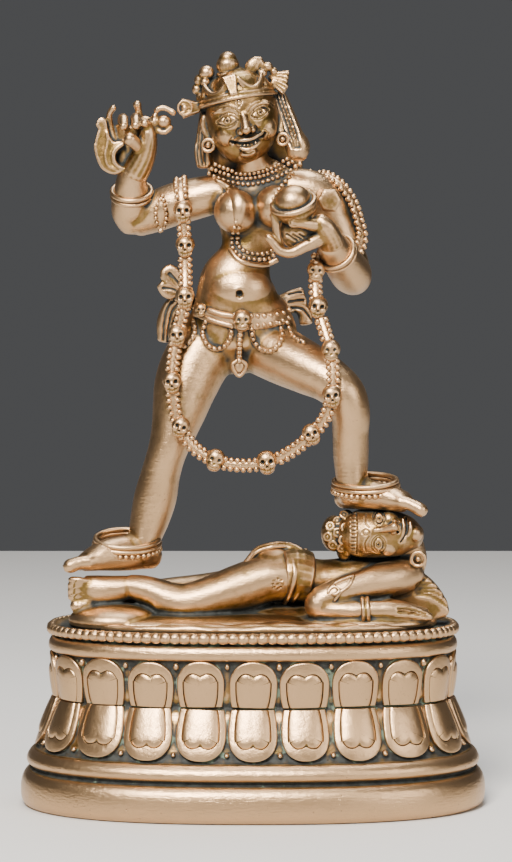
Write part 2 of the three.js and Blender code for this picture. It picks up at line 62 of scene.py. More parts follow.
def finishWith(obj, kind, **settings):                   # adds one modifier and applies it
    only(obj)
    bpy.ops.object.modifier_add(type=kind)
    modifier = obj.modifiers[-1]
    for name, value in settings.items():
        setattr(modifier, name, value)
    bpy.ops.object.modifier_apply(modifier=modifier.name)
    return obj


def settle(obj):                                         # the place goes into the mesh
    only(obj)
    bpy.ops.object.transform_apply(location=True, rotation=True, scale=True)
    return obj


def merged(parts, name):
    obj = only(*parts)
    if len(parts) > 1:
        bpy.ops.object.join()
    obj.name = name
    return settle(obj)


def welded(parts, name, voxel, rounds=3):                # one skin over all the parts, then smoothed
    obj = merged(parts, name)
    finishWith(obj, "REMESH", mode="VOXEL", voxel_size=voxel, adaptivity=0)
    finishWith(obj, "SMOOTH", factor=0.5, iterations=rounds)
    return obj


def copiesOf(source, places, name):                      # one joined object; the source goes
    twins = []
    for place in places:
        twin = source.copy()
        twin.data = source.data.copy()
        twin.matrix_world = place @ source.matrix_world
        bpy.context.collection.objects.link(twin)
        twins.append(twin)
    bpy.data.objects.remove(source)
    return merged(twins, name)


def spots(obj):                                          # vertex places as an array
    places = np.empty(len(obj.data.vertices) * 3)
    obj.data.vertices.foreach_get("co", places)
    return places.reshape(-1, 3)


def moveTo(obj, places):
    obj.data.vertices.foreach_set("co", np.ascontiguousarray(places, dtype=np.float32).ravel())
    obj.data.update()


def facings(obj):                                        # vertex normals as an array
    normals = np.empty(len(obj.data.vertices) * 3)
    obj.data.vertex_normals.foreach_get("vector", normals)
    return normals.reshape(-1, 3)


def rounded(obj, angle=50):
    only(obj)
    bpy.ops.object.shade_smooth_by_angle(angle=math.radians(angle))
    return obj


# Lines and lofts
def smoothLine(points, step):                            # an even, smooth line through rows of numbers
    rows = np.array(points, float)
    gaps = np.linalg.norm(np.diff(rows[:, :3], axis=0), axis=1)
    at = np.concatenate(([0], np.cumsum(gaps)))
    slopes = np.gradient(rows, at, axis=0)
    where = np.linspace(0, at[-1], max(2, round(at[-1] / step) + 1))
    i = np.clip(np.searchsorted(at, where, side="right") - 1, 0, len(gaps) - 1)
    u = ((where - at[i]) / gaps[i])[:, None]
    gap = gaps[i][:, None]
    ahead = u * u * (3 - 2 * u)
    return (
        rows[i] * (1 - ahead)
        + rows[i + 1] * ahead
        + slopes[i] * gap * u * (1 - u) ** 2
        - slopes[i + 1] * gap * u * u * (1 - u)
    )


def framesAlong(line, facing):                           # (centre, across, deep, along) at each row
    centres = [Vector(row[:3]) for row in line]
    frames = []
    for i, centre in enumerate(centres):
        along = (centres[min(i + 1, len(centres) - 1)] - centres[max(i - 1, 0)]).normalized()
        front = Vector(facing)
        deep = (front - along * front.dot(along)).normalized()
        frames.append((centre, deep.cross(along), deep, along))
    return frames


def limb(stations, sides=16, facing=towardsViewer, tip=0.5, step=1.6):
    rows = smoothLine([(*s, s[3]) if len(s) == 4 else s for s in stations], step)
    frames = framesAlong(rows, facing)
    rings = [(*frames[i], rows[i][3], rows[i][4]) for i in range(len(rows))]
    for end, way in ((0, -1), (-1, 1)):                  # shrinking rings round the ends off
        centre, across, deep, along, wide, thick = rings[end]
        for share in (35, 65, 85):
            turn = math.radians(share)
            reach = way * tip * min(wide, thick) * math.sin(turn)
            ring = (centre + along * reach, across, deep, along, wide * math.cos(turn), thick * math.cos(turn))
            rings.insert(0 if way < 0 else len(rings), ring)
    bpy.ops.object.select_all(action="DESELECT")
    bpy.ops.object.add(type="MESH", enter_editmode=True)
    obj = bpy.context.object
    turns = np.linspace(0, 2 * math.pi, sides, endpoint=False)
    places = []
    for k, (centre, across, deep, along, wide, thick) in enumerate(rings):
        bpy.ops.mesh.primitive_circle_add(vertices=sides, location=centre)
        for t in turns:
            places.append(centre + across * wide * math.cos(t) + deep * thick * math.sin(t))
        if k:
            selectVerts(obj, lambda v: v.index >= (k - 1) * sides)
            bpy.ops.mesh.bridge_edge_loops()
    for first in (0, (len(rings) - 1) * sides):
        selectVerts(obj, lambda v: first <= v.index < first + sides)
        bpy.ops.mesh.edge_face_add()
    bpy.ops.object.mode_set(mode="OBJECT")
    moveTo(obj, places)                                  # round rings become the ovals of the limb
    bpy.ops.object.mode_set(mode="EDIT")
    bpy.ops.mesh.select_all(action="SELECT")
    bpy.ops.mesh.normals_make_consistent(inside=False)
    bpy.ops.object.mode_set(mode="OBJECT")
    return obj


def selectVerts(obj, wanted):                            # in edit mode, by a test of each vertex
    bpy.ops.mesh.select_all(action="DESELECT")
    mesh = bmesh.from_edit_mesh(obj.data)
    mesh.verts.index_update()
    for v in mesh.verts:
        if wanted(v):
            v.select_set(True)
    mesh.select_flush(True)
    bmesh.update_edit_mesh(obj.data)


def selectFaces(obj, wanted):
    mesh = bmesh.from_edit_mesh(obj.data)
    for face in mesh.faces:
        face.select_set(False)
    for face in mesh.faces:
        if wanted(face):
            face.select_set(True)
    bmesh.update_edit_mesh(obj.data)


def ball(centre, halves, turn=0, segments=20, rows=12):
    bpy.ops.object.select_all(action="DESELECT")
    bpy.ops.mesh.primitive_uv_sphere_add(
        segments=segments, ring_count=rows, location=centre, rotation=(0, turn, 0), scale=halves
    )
    return settle(bpy.context.object)


def bead(radius, stretch=1, flat=1):                     # a low bead, solid, to be strung along Y
    bpy.ops.object.select_all(action="DESELECT")
    bpy.ops.mesh.primitive_ico_sphere_add(subdivisions=2, radius=radius, scale=(1, stretch, flat))
    return settle(bpy.context.object)


def placesAlong(points, pitch, facing=towardsViewer, aside=(0,), lift=0):
    line = smoothLine(points, pitch)
    places = []
    for centre, across, deep, along in framesAlong(line, facing):
        for offset in aside:
            place = Matrix((-across, along, deep)).transposed().to_4x4()
            place.translation = centre + across * offset + deep * lift
            places.append(place)
    return places


def beadRow(points, radius, pitch, facing=towardsViewer, aside=(0,), lift=0, stretch=1):
    return copiesOf(bead(radius, stretch), placesAlong(points, pitch, facing, aside, lift), "beadRow")


# Carving moves on a finished skin
class Skin:                                              # finds places on one or more surfaces
    def __init__(self, *objs):
        corners, faces = [], []
        for obj in objs:
            first = len(corners)
            corners.extend(spots(obj).tolist())
            faces.extend([first + v for v in face.vertices] for face in obj.data.polygons)
        self.tree = BVHTree.FromPolygons(corners, faces)

    def front(self, x, z, lift=0, fallback=0):           # seen from the front, at this x and z
        place = self.tree.ray_cast(Vector((x, -90, z)), Vector((0, 1, 0)))[0]
        return Vector((x, (place.y if place else fallback) - lift, z))

    def back(self, x, z, lift=0, fallback=0):
        place = self.tree.ray_cast(Vector((x, 90, z)), Vector((0, -1, 0)))[0]
        return Vector((x, (place.y if place else fallback) + lift, z))

    def line(self, points, lift=0, step=0.8):            # (x, z) points laid on the front
        even = smoothLine([(x, z, 0) for x, z in points], step)
        return [tuple(self.front(x, z, lift)) for x, z, _ in even]


def nearLine(places, line):                              # distance of each place from a line in space
    nearest = np.full(len(places), 1e9)
    line = np.array(line, float)
    low, high = line.min(0) - 3, line.max(0) + 3
    near = np.all((places > low) & (places < high), axis=1)
    some = places[near]
    best = np.full(len(some), 1e9)
    for a, b in zip(line[:-1], line[1:]):
        span = b - a
        share = np.clip((some - a) @ span / max(span @ span, 1e-9), 0, 1)
        best = np.minimum(best, np.linalg.norm(some - a - share[:, None] * span, axis=1))
    nearest[near] = best
    return nearest


def incise(obj, lines, width, depth):                    # a soft groove, or a ridge where depth is below zero
    places = spots(obj)
    normals = facings(obj)
    for line in lines:
        away = nearLine(places, line)
        cut = np.clip(1 - (away / width) ** 2, 0, 1) ** 1.5
        places -= normals * (cut * depth)[:, None]
    moveTo(obj, places)


def push(obj, centre, radius, move):                     # moves the skin round a place
    places = spots(obj)
    away = np.linalg.norm(places - np.array(centre), axis=1) / radius
    share = np.clip(1 - away ** 2, 0, 1) ** 2
    moveTo(obj, places + share[:, None] * np.array(move))


# Lotus base
base = {
    "footHalfWidth": 51.3,
    "widthOverDepth": 20.8,
    "planExponent": 2.45,
    "middleHalfWidth": 46,
    "petals": 21,
    "rimBeads": 112,
    "profile": [
        (49.3, 0), (50.4, 0.3), (51.0, 1.1), (51.3, 2.6), (51.3, 4.2), (51.1, 5.6), (50.7, 6.7), (50.0, 7.5),
        (49.3, 7.95), (48.8, 8.2), (48.7, 8.5), (49.0, 8.8), (49.7, 9.25), (50.0, 9.9), (49.9, 10.7), (49.5, 11.4),
        (48.9, 12.0), (48.1, 12.4), (47.5, 12.65), (47.2, 13.0), (46.4, 15.2), (43.3, 23.3), (42.75, 23.9),
        (43.0, 24.5), (43.75, 33.1), (43.85, 33.7), (44.5, 34.0), (45.0, 34.5), (45.1, 35.2), (44.95, 36.1),
        (44.5, 36.8), (43.8, 37.2), (43.2, 37.5), (43.3, 37.8), (44.4, 37.9), (44.9, 38.4), (44.9, 39.0),
        (44.4, 39.7), (43.5, 39.8), (42.8, 39.5), (42.2, 39.4),
    ],
    "top": 39.4,
}


def planTable(count=4000):                               # the plan as length, place and outward way
    turn = np.linspace(-math.pi / 2, 1.5 * math.pi, count + 1)
    bend = lambda value: np.sign(value) * np.abs(value) ** (2 / base["planExponent"])
    x = base["middleHalfWidth"] * bend(np.cos(turn))
    y = (base["middleHalfWidth"] - base["widthOverDepth"]) * bend(np.sin(turn))
    length = np.concatenate(([0], np.cumsum(np.hypot(np.diff(x), np.diff(y)))))
    even = np.linspace(0, length[-1], count + 1)
    x, y = np.interp(even, length, x), np.interp(even, length, y)
    alongX, alongY = np.gradient(x), np.gradient(y)
    alongX[[0, -1]], alongY[[0, -1]] = 1, 0
    size = np.hypot(alongX, alongY)
    return even, x, y, alongY / size, -alongX / size


plan = planTable()
planLength = plan[0][-1]


def carriedRound(obj, wall=None):                        # flat x goes along the plan and -y outwards
    places = spots(obj)
    along = places[:, 0] % planLength
    x, y, outX, outY = (np.interp(along, plan[0], column) for column in plan[1:])
    out = -places[:, 1] - base["middleHalfWidth"]
    if wall:
        heights, halves = wall
        out = out + np.interp(places[:, 2], heights, halves)
    moveTo(obj, np.column_stack((x + outX * out, y + outY * out, places[:, 2])))
    return obj


def ringOf(profile, columns, name, closeTop):            # a profile carried round the plan as one closed skin
    bpy.ops.object.select_all(action="DESELECT")
    bpy.ops.mesh.primitive_grid_add(x_subdivisions=columns, y_subdivisions=len(profile) - 1, size=1)
    obj = bpy.context.object
    obj.name = name
    flat = spots(obj)
    rows = np.rint((flat[:, 1] + 0.5) * (len(profile) - 1)).astype(int)
    outline = np.array(profile)
    along = (flat[:, 0] + 0.5) * planLength
    moveTo(obj, np.column_stack((along, -outline[rows, 0], outline[rows, 1])))
    carriedRound(obj)
    bpy.ops.object.mode_set(mode="EDIT")
    bpy.ops.mesh.select_all(action="SELECT")
    bpy.ops.mesh.remove_doubles(threshold=0.001)
    ends = (profile[0], profile[-1]) if closeTop else (profile[0],)
    for half, height in ends:                            # both flat ends narrow to their middle
        bpy.ops.mesh.select_all(action="DESELECT")
        selectVerts(obj, lambda v: v.is_boundary and abs(v.co.z - height) < 0.01)
        for share in (0.9, 0.5, 0.5):
            bpy.ops.mesh.extrude_region_move()
            bpy.ops.transform.resize(value=(share, share, 1), center_override=(0, 0, height))
        bpy.ops.mesh.merge(type="CENTER")
    bpy.ops.mesh.select_all(action="SELECT")
    bpy.ops.mesh.normals_make_consistent(inside=False)
    bpy.ops.object.mode_set(mode="OBJECT")
    return obj


def makeMouldings():
    rows = smoothLine([(half, height, 0) for half, height in base["profile"]], 0.55)[:, :2]
    obj = ringOf([tuple(row) for row in rows], 420, "lotus_base_mouldings", True)
    ridge = bead(1.2, 1.3, 1.02)
    pitch = planLength / base["rimBeads"]
    chance = random.Random(4)
    places = []
    for i in range(base["rimBeads"]):
        worn = 1.0 + chance.uniform(-0.1, 0.16)
        place = Matrix.Translation((i * pitch, -44.35 - chance.uniform(0, 0.12), 38.8))
        places.append(place @ Matrix.Diagonal((worn, 1, 1, 1)) @ Matrix.Rotation(math.pi / 2, 4, "Z"))
    beads = carriedRound(copiesOf(ridge, places, "rim_beads"))
    return merged([obj, beads], "lotus_base_mouldings")


petalLook = {
    "tall": 9.6,
    "wide": 10.0,
    "thick": 1.15,
    "shoulder": 0.34,
    "border": 0.9,
    "grooveDeep": 0.3,
    "notch": 1.0,
}


def makePetal(look, tipUp):
    bpy.ops.object.select_all(action="DESELECT")
    bpy.ops.mesh.primitive_circle_add(vertices=44, radius=1, fill_type="NGON", rotation=(math.pi / 2, 0, 0))
    obj = settle(bpy.context.object)
    flat = spots(obj)
    up = flat[:, 2]
    wide = np.sign(flat[:, 0]) * np.abs(flat[:, 0]) ** np.where(up < 0, 0.5, 0.9)
    tall = np.where(up > 0, 0.47, 0.82) * np.sign(up) * np.abs(up) ** 0.93
    moveTo(obj, np.column_stack((wide * look["wide"] / 2, flat[:, 1] * 0, tall * look["tall"])))
    bpy.ops.object.mode_set(mode="EDIT")
    bpy.ops.mesh.select_all(action="SELECT")
    bpy.ops.mesh.normals_make_consistent(inside=False)
    faceFront(obj)
    bpy.ops.mesh.extrude_region_move(TRANSFORM_OT_translate={"value": (0, -look["thick"] * 0.72, 0)})
    half = look["shoulder"] / 2
    bpy.ops.mesh.inset(thickness=half * 0.5, depth=look["thick"] * 0.18)
    bpy.ops.mesh.inset(thickness=half * 1.5, depth=look["thick"] * 0.1)
    bpy.ops.mesh.inset(thickness=look["border"], depth=0.12)
    nudgeTip(obj, look["notch"], 2.8)
    for share, rise in ((0.96, -1), (0.96, 0.95), (0.93, 0.45), (0.8, 0.75), (0.65, 0.5), (0.45, 0.2)):
        bpy.ops.mesh.extrude_region_move(TRANSFORM_OT_translate={"value": (0, -look["grooveDeep"] * rise, 0)})
        bpy.ops.transform.resize(value=(share, 1, share), center_override=(0, 0, -0.6))
    bpy.ops.mesh.poke()
    bpy.ops.mesh.select_all(action="SELECT")
    waistHeight = -look["tall"] * 0.5
    bpy.ops.mesh.bisect(plane_co=(0, 0, waistHeight), plane_no=(0, 0, 1), clear_inner=True, use_fill=True)
    bpy.ops.object.mode_set(mode="OBJECT")
    if not tipUp:
        obj.rotation_euler.y = math.pi
        settle(obj)
    return obj


def faceFront(obj):                                      # keeps only the face that looks at the viewer selected
    mesh = bmesh.from_edit_mesh(obj.data)
    for face in mesh.faces:
        if face.normal.y > 0:
            face.normal_flip()
    bmesh.update_edit_mesh(obj.data)


def nudgeTip(obj, drop, reach):                          # the selected outline dips at its tip, heart-wise
    mesh = bmesh.from_edit_mesh(obj.data)
    chosen = [v for v in mesh.verts if v.select]
    top = max(v.co.z for v in chosen)
    for v in chosen:
        near = max(0, 1 - abs(v.co.x) / reach)
        if v.co.z > top - 2.5:
            v.co.z -= 0.7 + drop * near ** 1.6
    bmesh.update_edit_mesh(obj.data)


def makePetals():
    pitch = planLength / base["petals"]
    chance = random.Random(8)
    rows = []
    for tipUp, low, high in ((True, 24.1, 33.9), (False, 13.1, 23.6)):
        look = dict(petalLook, tall=high - low, wide=10.5, thick=1.1 if tipUp else 1.25)
        petal = makePetal(look, tipUp)
        box = spots(petal)
        lift = low - box[:, 2].min()
        squash = (high - low) / (box[:, 2].max() - box[:, 2].min())
        places = []
        for i in range(base["petals"]):
            place = Matrix.Translation((i * pitch, 0, low + chance.uniform(-0.12, 0.12)))
            turn = Matrix.Rotation(chance.uniform(-0.03, 0.03), 4, "Y")
            grow = Matrix.Diagonal((1 + chance.uniform(-0.03, 0.03), 1, squash * (1 + chance.uniform(-0.015, 0.015)), 1))
            places.append(place @ turn @ grow @ Matrix.Translation((0, 0, -box[:, 2].min())))
        rows.append(copiesOf(petal, places, "petal_row"))
    points = []
    for height, tall in ((32.7, 0.75), (14.3, 0.6)):     # the small buds between the petals
        bud = ball((0, 0, 0), (0.62, 0.75, tall), segments=10, rows=8)
        places = []
        for i in range(base["petals"]):
            spot = Matrix.Translation(((i + 0.5) * pitch + chance.uniform(-0.2, 0.2), -0.3, height))
            places.append(spot @ Matrix.Scale(chance.uniform(0.8, 1.15), 4))
        points.append(copiesOf(bud, places, "petal_buds"))
    wall = ([12.6, 23.9, 34.0], [47.3, 42.75, 43.85])
    petals = merged(rows + points, "lotus_petals")
    return carriedRound(petals, wall)


mouldings = makeMouldings()
petals = makePetals()
print("lotus base modelled", len(mouldings.data.polygons), len(petals.data.polygons))


# Goddess: the bare body under her ornaments
goddess = {
    "torso": [
        (-2.7, 3.8, 97.2, 6.4, 5.6), (-3, 4, 100.4, 12.2, 7.6), (-3, 3.6, 104.2, 12.7, 8.0), (-3.2, 2.8, 108.0, 11.2, 7.8),
        (-3.6, 1.8, 111.4, 9.2, 7.2), (-3.4, 1.4, 115.4, 8.2, 6.4), (-1.4, 2.2, 121.4, 5.7, 4.9),
        (-0.2, 2.7, 126.6, 7.7, 5.3), (0.8, 3.1, 131.4, 9.9, 5.5), (1.2, 3.4, 135.2, 10.8, 4.8),
        (0.9, 3.0, 138.4, 7.0, 4.2), (0.2, 1.8, 140.8, 3.9, 3.8), (-0.6, 0.2, 145, 3.5, 3.5),
    ],
    "belly": (-3.1, -1.0, 113.0, 7.2, 4.9, 6.0),
    "breasts": [(-3.8, -2.9, 130.1, 4.8), (5.0, -2.8, 131.2, 4.7)],
    "navel": (-2.9, 112.2),
    "seat": [(-9.2, 7.4, 102.8, 6.0), (3.6, 7.4, 102.4, 6.0)],
    "rightArm": [(-6.5, 3.2, 134.6, 4.2), (-12.6, 3.6, 133.2, 4.6), (-17.5, 4.2, 131.9, 4.7), (-22, 4.9, 130.2, 4.5),
                 (-26, 5.4, 128.9, 4.2)],
    "rightForearm": [(-26, 5.6, 127.3, 3.6), (-26.7, 5, 129.9, 4.5), (-26.8, 3.2, 133, 4.4), (-26.8, 1.4, 136, 3.6),
                     (-26.4, 0.2, 139, 3.1)],
    "leftArm": [(7.5, 3.2, 135.6, 4.2), (12.5, 3.4, 134.8, 4.7), (15.6, 3.6, 132.6, 4.8), (17.8, 4, 128.4, 4.5),
                (19.8, 4.2, 123.4, 4.3), (21.6, 4.4, 118, 4.3)],
    "leftForearm": [(22.5, 5.4, 115.4, 3.8), (21.8, 2.6, 116.4, 4.5), (20.2, -1.4, 118.4, 4.4),
                    (18.4, -5.4, 120.9, 3.9), (16.9, -9.2, 123, 3.1)],
    "rightLeg": [(-8.2, 3.8, 102, 7.2, 6.6), (-12.4, 2, 97.4, 7.4, 6.7), (-14.8, 0.4, 92, 7.0, 6.4),
                 (-16.2, -0.8, 86.6, 6.0, 5.8), (-17.6, -1.6, 81.4, 4.9, 5.2), (-18.9, -1.8, 77.4, 4.3, 4.9),
                 (-20.2, -1.2, 73, 4.3, 4.8), (-21.6, -0.6, 67, 4.7, 5.0), (-22.8, -0.8, 62.4, 4.3, 4.5),
                 (-23.9, -1.4, 58.4, 3.7, 3.9), (-24.6, -1.8, 54.6, 3.5, 3.8)],
    "leftLeg": [(0.6, 3.8, 101.4, 6.6, 6.4), (6.6, 0.2, 98.4, 6.3, 6.8), (12.2, -3.8, 95.7, 5.7, 6.2),
                (16.8, -6.8, 93.2, 5.0, 5.4), (20, -8.2, 90.2, 4.6, 4.9), (21.2, -7.6, 86.4, 4.3, 4.8),
                (21.3, -6.2, 82, 4.0, 4.7), (21.4, -5.4, 77, 3.9, 4.6), (21.6, -5.8, 72, 3.5, 3.9),
                (21.9, -6.2, 67.4, 3.3, 3.5)],
    "skinVoxel": 0.45,
}


def makeBody(look):
    parts = [limb(look["torso"], sides=40, step=1)]
    x, y, z, *halves = look["belly"]
    parts.append(ball((x, y, z), halves, segments=40, rows=24))
    for x, y, z, radius in look["breasts"] + look["seat"]:
        parts.append(ball((x, y, z), (radius,) * 3, segments=36, rows=22))
    for name in ("rightArm", "rightForearm", "rightLeg", "leftLeg", "leftArm"):
        parts.append(limb(look[name], sides=32, step=1))
    parts.append(limb(look["leftForearm"], sides=32, step=1, facing=upwards))
    parts += makeFeet(feet)
    obj = welded(parts, "goddess_body", look["skinVoxel"], rounds=7)
    skin = Skin(obj)
    navel = skin.front(*look["navel"])
    push(obj, navel, 1.15, (0, 1.5, 0))
    ring = [navel + Vector((1.15 * math.cos(t), 0, 1.15 * math.sin(t))) for t in np.linspace(0, 2 * math.pi, 20)]
    incise(obj, [ring], 0.5, -0.16)
    folds = []
    for height in (139.9, 141.3):
        folds.append([(4.4 * math.cos(t), 1 + 4.4 * math.sin(t), height - 0.5 * math.sin(t) - 0.4)
                      for t in np.linspace(math.pi, 2 * math.pi, 14)])
    incise(obj, folds, 0.5, 0.22)
    return obj


# Feet, with the big toe on the viewer's side
feet = {
    "right": {
        "sole": [(-22.4, -0.6, 54.2, 3.0, 2.9), (-25.2, -1.8, 55.2, 3.5, 3.9), (-28.8, -3.4, 55.2, 3.6, 3.9),
                 (-32.4, -4.9, 54.9, 3.6, 3.5), (-35.4, -5.9, 54.0, 3.6, 2.6), (-37, -6.4, 53.4, 3.4, 2.0)],
        "toes": [((-35.4, -8.4, 53.8), (-39.9, -9.4, 52.9), 1.7), ((-36.2, -6.7, 53.3), (-40.2, -7.3, 52.4), 1.05),
                 ((-36.2, -5.2, 53.1), (-39.6, -5.6, 52.2), 1.0), ((-36, -3.8, 52.9), (-38.9, -4.1, 52.1), 0.95),
                 ((-35.4, -2.6, 52.7), (-38, -2.7, 52.0), 0.9)],
    },
    "left": {
        "sole": [(19.8, -3.4, 67.2, 2.6, 2.3), (22.8, -5.2, 68.4, 3.4, 3.5), (26.4, -6.9, 68.2, 3.5, 3.2),
                 (29.8, -8.4, 67.8, 3.5, 2.9), (32.6, -9.6, 67.0, 3.4, 2.4)],
        "toes": [((31.8, -11.6, 67.2), (36.4, -12.9, 65.4), 1.6), ((32.6, -10.2, 67.1), (37.0, -11.2, 65.4), 1.05),
                 ((32.8, -8.8, 66.9), (36.8, -9.5, 65.4), 1.0), ((32.6, -7.5, 66.7), (36.2, -8, 65.4), 0.95),
                 ((32.2, -6.3, 66.5), (35.4, -6.6, 65.4), 0.9)],
    },
}


def makeFeet(look):
    parts = []
    for side in look.values():
        parts.append(limb(side["sole"], sides=28, step=1, facing=upwards, tip=0.8))
        for knuckle, tip, radius in side["toes"]:
            middle = tuple((a + b) / 2 for a, b in zip(knuckle, tip))
            lifted = (middle[0], middle[1], middle[2] + 0.35)
            toe = [(*knuckle, radius), (*lifted, radius * 0.9), (*tip, radius)]
            parts.append(limb(toe, sides=16, tip=0.9, step=1))
    return parts


# Head, set by the brow, eyes, nose and mouth of the cast's own stylised face
head = {
    "skull": [
        (-1.0, -4.6, 142.4, 2.6, 2.2), (-1.3, -3.7, 143.4, 4.7, 4.4), (-1.6, -2.6, 145.0, 6.3, 6.2),
        (-1.9, -1.8, 147.2, 7.3, 7.4), (-2.2, -1.2, 149.8, 7.8, 8.0), (-2.6, -0.9, 152.6, 7.8, 8.4),
        (-3.4, -0.6, 155.6, 7.3, 8.3), (-4.4, -0.3, 158.6, 5.6, 6.8), (-5, 0, 160.4, 3, 4),
    ],
    "cheeks": [(-5.4, -4.9, 146.8, 2.8), (2.5, -4.7, 148.2, 2.7)],
    "brow": [(-5.8, -6.9, 151.9, 2.9, 1.3, 0.9), (1.0, -6.9, 153.0, 2.7, 1.3, 0.9)],
    "eyes": [(-5.5, -6.9, 149.5, 2.2, 1.2, 1.3, -0.06), (1.6, -6.9, 151.1, 2.0, 1.2, 1.2, -0.28)],
    "nose": [(-2.0, -8.4, 151.4, 0.7), (-1.9, -9.1, 150.1, 0.75), (-1.6, -9.7, 148.7, 0.95), (-1.4, -10.1, 147.5, 1.15)],
    "wings": [(-2.6, -8.9, 147.05, 0.75), (-0.1, -8.8, 147.6, 0.75)],
    "muzzle": (-1.2, -7.1, 145.3, 3.0, 1.5, 1.8),
    "upperLip": [(-4.3, -7.3, 145.3, 0.3), (-2.9, -8.2, 145.25, 0.42), (-1.3, -8.6, 145.35, 0.46), (0.5, -8.3, 145.9, 0.42),
                 (2.2, -7.3, 147.0, 0.3)],
    "lowerLip": [(-3.0, -7.8, 143.9, 0.35), (-2.1, -8.2, 143.4, 0.48), (-1.0, -8.3, 143.3, 0.5), (0.4, -8.0, 143.9, 0.45),
                 (1.6, -7.3, 145.1, 0.35)],
    "chin": (-1.0, -5.9, 142.8, 1.9, 1.3, 1.1),
    "ears": [
        [(-9.6, 0.4, 151.6, 0.9, 1.6), (-10.8, 0, 150.4, 1.1, 1.8), (-10.7, -0.2, 148.6, 1.0, 1.4),
         (-10.0, -0.4, 146.8, 0.8, 1.0), (-9.6, -0.6, 145.0, 1.0, 1.1)],
        [(5.0, 0.4, 152.8, 0.9, 1.6), (6.2, 0, 151.6, 1.1, 1.8), (6.3, -0.4, 149.6, 1.0, 1.4), (6.1, -1, 147.4, 1.1, 1.1)],
    ],
    "voxel": 0.185,
}


def almond(left, right, high, low, count=9):             # an eye's outline from corner to corner
    share = np.linspace(0, 1, count)
    x = left[0] + (right[0] - left[0]) * share
    chord = left[1] + (right[1] - left[1]) * share
    lift = np.sin(math.pi * share) ** 0.8
    return list(zip(x, chord + high * lift)), list(zip(x, chord - low * lift))


def circle2(x, z, radius, count=16):
    turns = np.linspace(0, 2 * math.pi, count + 1)
    return [(x + radius * math.cos(t), z + radius * math.sin(t)) for t in turns]


def carveEye(obj, left, right, high, low, iris):
    upper, lower = almond(left, right, high, low)
    middle = ((left[0] + right[0]) / 2, (left[1] + right[1]) / 2 + (high - low) / 2)
    skin = Skin(obj)
    incise(obj, [skin.line(upper, step=0.3), skin.line(lower, step=0.3)], 0.3, 0.26)
    lid = [(x, z + 0.62) for x, z in upper[1:-1]]
    incise(obj, [skin.line(lid, step=0.3)], 0.3, 0.2)
    bag = [(x, z - 0.5) for x, z in lower[1:-1]]
    incise(obj, [skin.line(bag, step=0.3)], 0.24, 0.1)
    incise(obj, [skin.line(circle2(*middle, iris), step=0.2)], 0.2, 0.16)
    push(obj, skin.front(*middle), 0.36, (0, 0.6, 0))


def makeHead(look):
    parts = [limb(look["skull"], sides=44, step=0.9)]
    for x, y, z, radius in look["cheeks"] + look["wings"]:
        parts.append(ball((x, y, z), (radius,) * 3, segments=28, rows=18))
    for x, y, z, *halves in look["brow"] + [look["muzzle"], look["chin"]]:
        parts.append(ball((x, y, z), halves, turn=-0.22))
    for x, y, z, wide, thick, tall, turn in look["eyes"]:
        parts.append(ball((x, y, z), (wide, thick, tall), turn=turn))
    for name in ("nose", "upperLip", "lowerLip"):
        parts.append(limb(look[name], sides=14, step=0.6, tip=0.9))
    for ear in look["ears"]:
        parts.append(limb(ear, sides=12, step=0.8, tip=0.8))
    obj = welded(parts, "goddess_head", look["voxel"], rounds=9)
    carveEye(obj, (-7.9, 149.2), (-3.3, 149.7), 1.15, 1.0, 0.78)
    carveEye(obj, (-0.2, 150.6), (3.5, 152.0), 0.95, 0.9, 0.66)
    skin = Skin(obj)
    brows = [
        skin.line([(-9.0, 150.9), (-7.6, 152.1), (-5.4, 152.5), (-3.6, 151.7), (-2.7, 150.9)], step=0.4),
        skin.line([(-1.2, 151.3), (-0.2, 152.7), (1.6, 153.6), (3.4, 153.7), (4.3, 153.0)], step=0.4),
    ]
    incise(obj, brows, 0.9, -0.12)
    incise(obj, brows, 0.26, 0.16)
    mouth = skin.line([(-4.6, 145.0), (-3.2, 144.55), (-1.4, 144.5), (0.6, 145.1), (2.5, 146.8)], step=0.3)
    incise(obj, [mouth], 0.62, 0.85)
    teeth = [(-2.7, 144.45), (-1.9, 144.35), (-1.1, 144.4), (-0.3, 144.6), (0.5, 145.0)]
    for x, z in teeth:
        push(obj, skin.front(x, z, -0.5), 0.42, (0, -0.5, 0))
    for x, z in ((-2.1, 146.5), (-0.5, 146.9)):
        push(obj, skin.front(x, z), 0.42, (0, 0.6, 0.1))
    wings = [
        skin.line([(-3.5, 146.5), (-3.6, 147.2), (-3.2, 147.9)], step=0.3),
        skin.line([(0.7, 147.2), (0.9, 147.9), (0.5, 148.5)], step=0.3),
        skin.line([(-4.6, 145.9), (-5.1, 145.0), (-4.9, 144.2)], step=0.3),
        skin.line([(2.6, 147.6), (3.3, 146.9), (3.1, 145.8)], step=0.3),
        skin.line([(-2.0, 142.8), (-1.0, 142.5), (0.2, 142.9)], step=0.3),
    ]
    incise(obj, wings, 0.32, 0.16)
    thirdEye = [skin.line([(-3.0, 152.5), (-3.0 + side * 0.42, 153.4), (-3.1, 154.3)], step=0.25)
                for side in (-1, 1)]
    incise(obj, thirdEye, 0.24, 0.2)
    push(obj, skin.front(-3.0, 153.4), 0.3, (0, 0.35, 0))
    return obj


goddessBody = makeBody(goddess)
goddessHead = makeHead(head)
bodySkin = Skin(goddessBody, goddessHead)
print("goddess modelled", len(goddessBody.data.polygons), len(goddessHead.data.polygons))


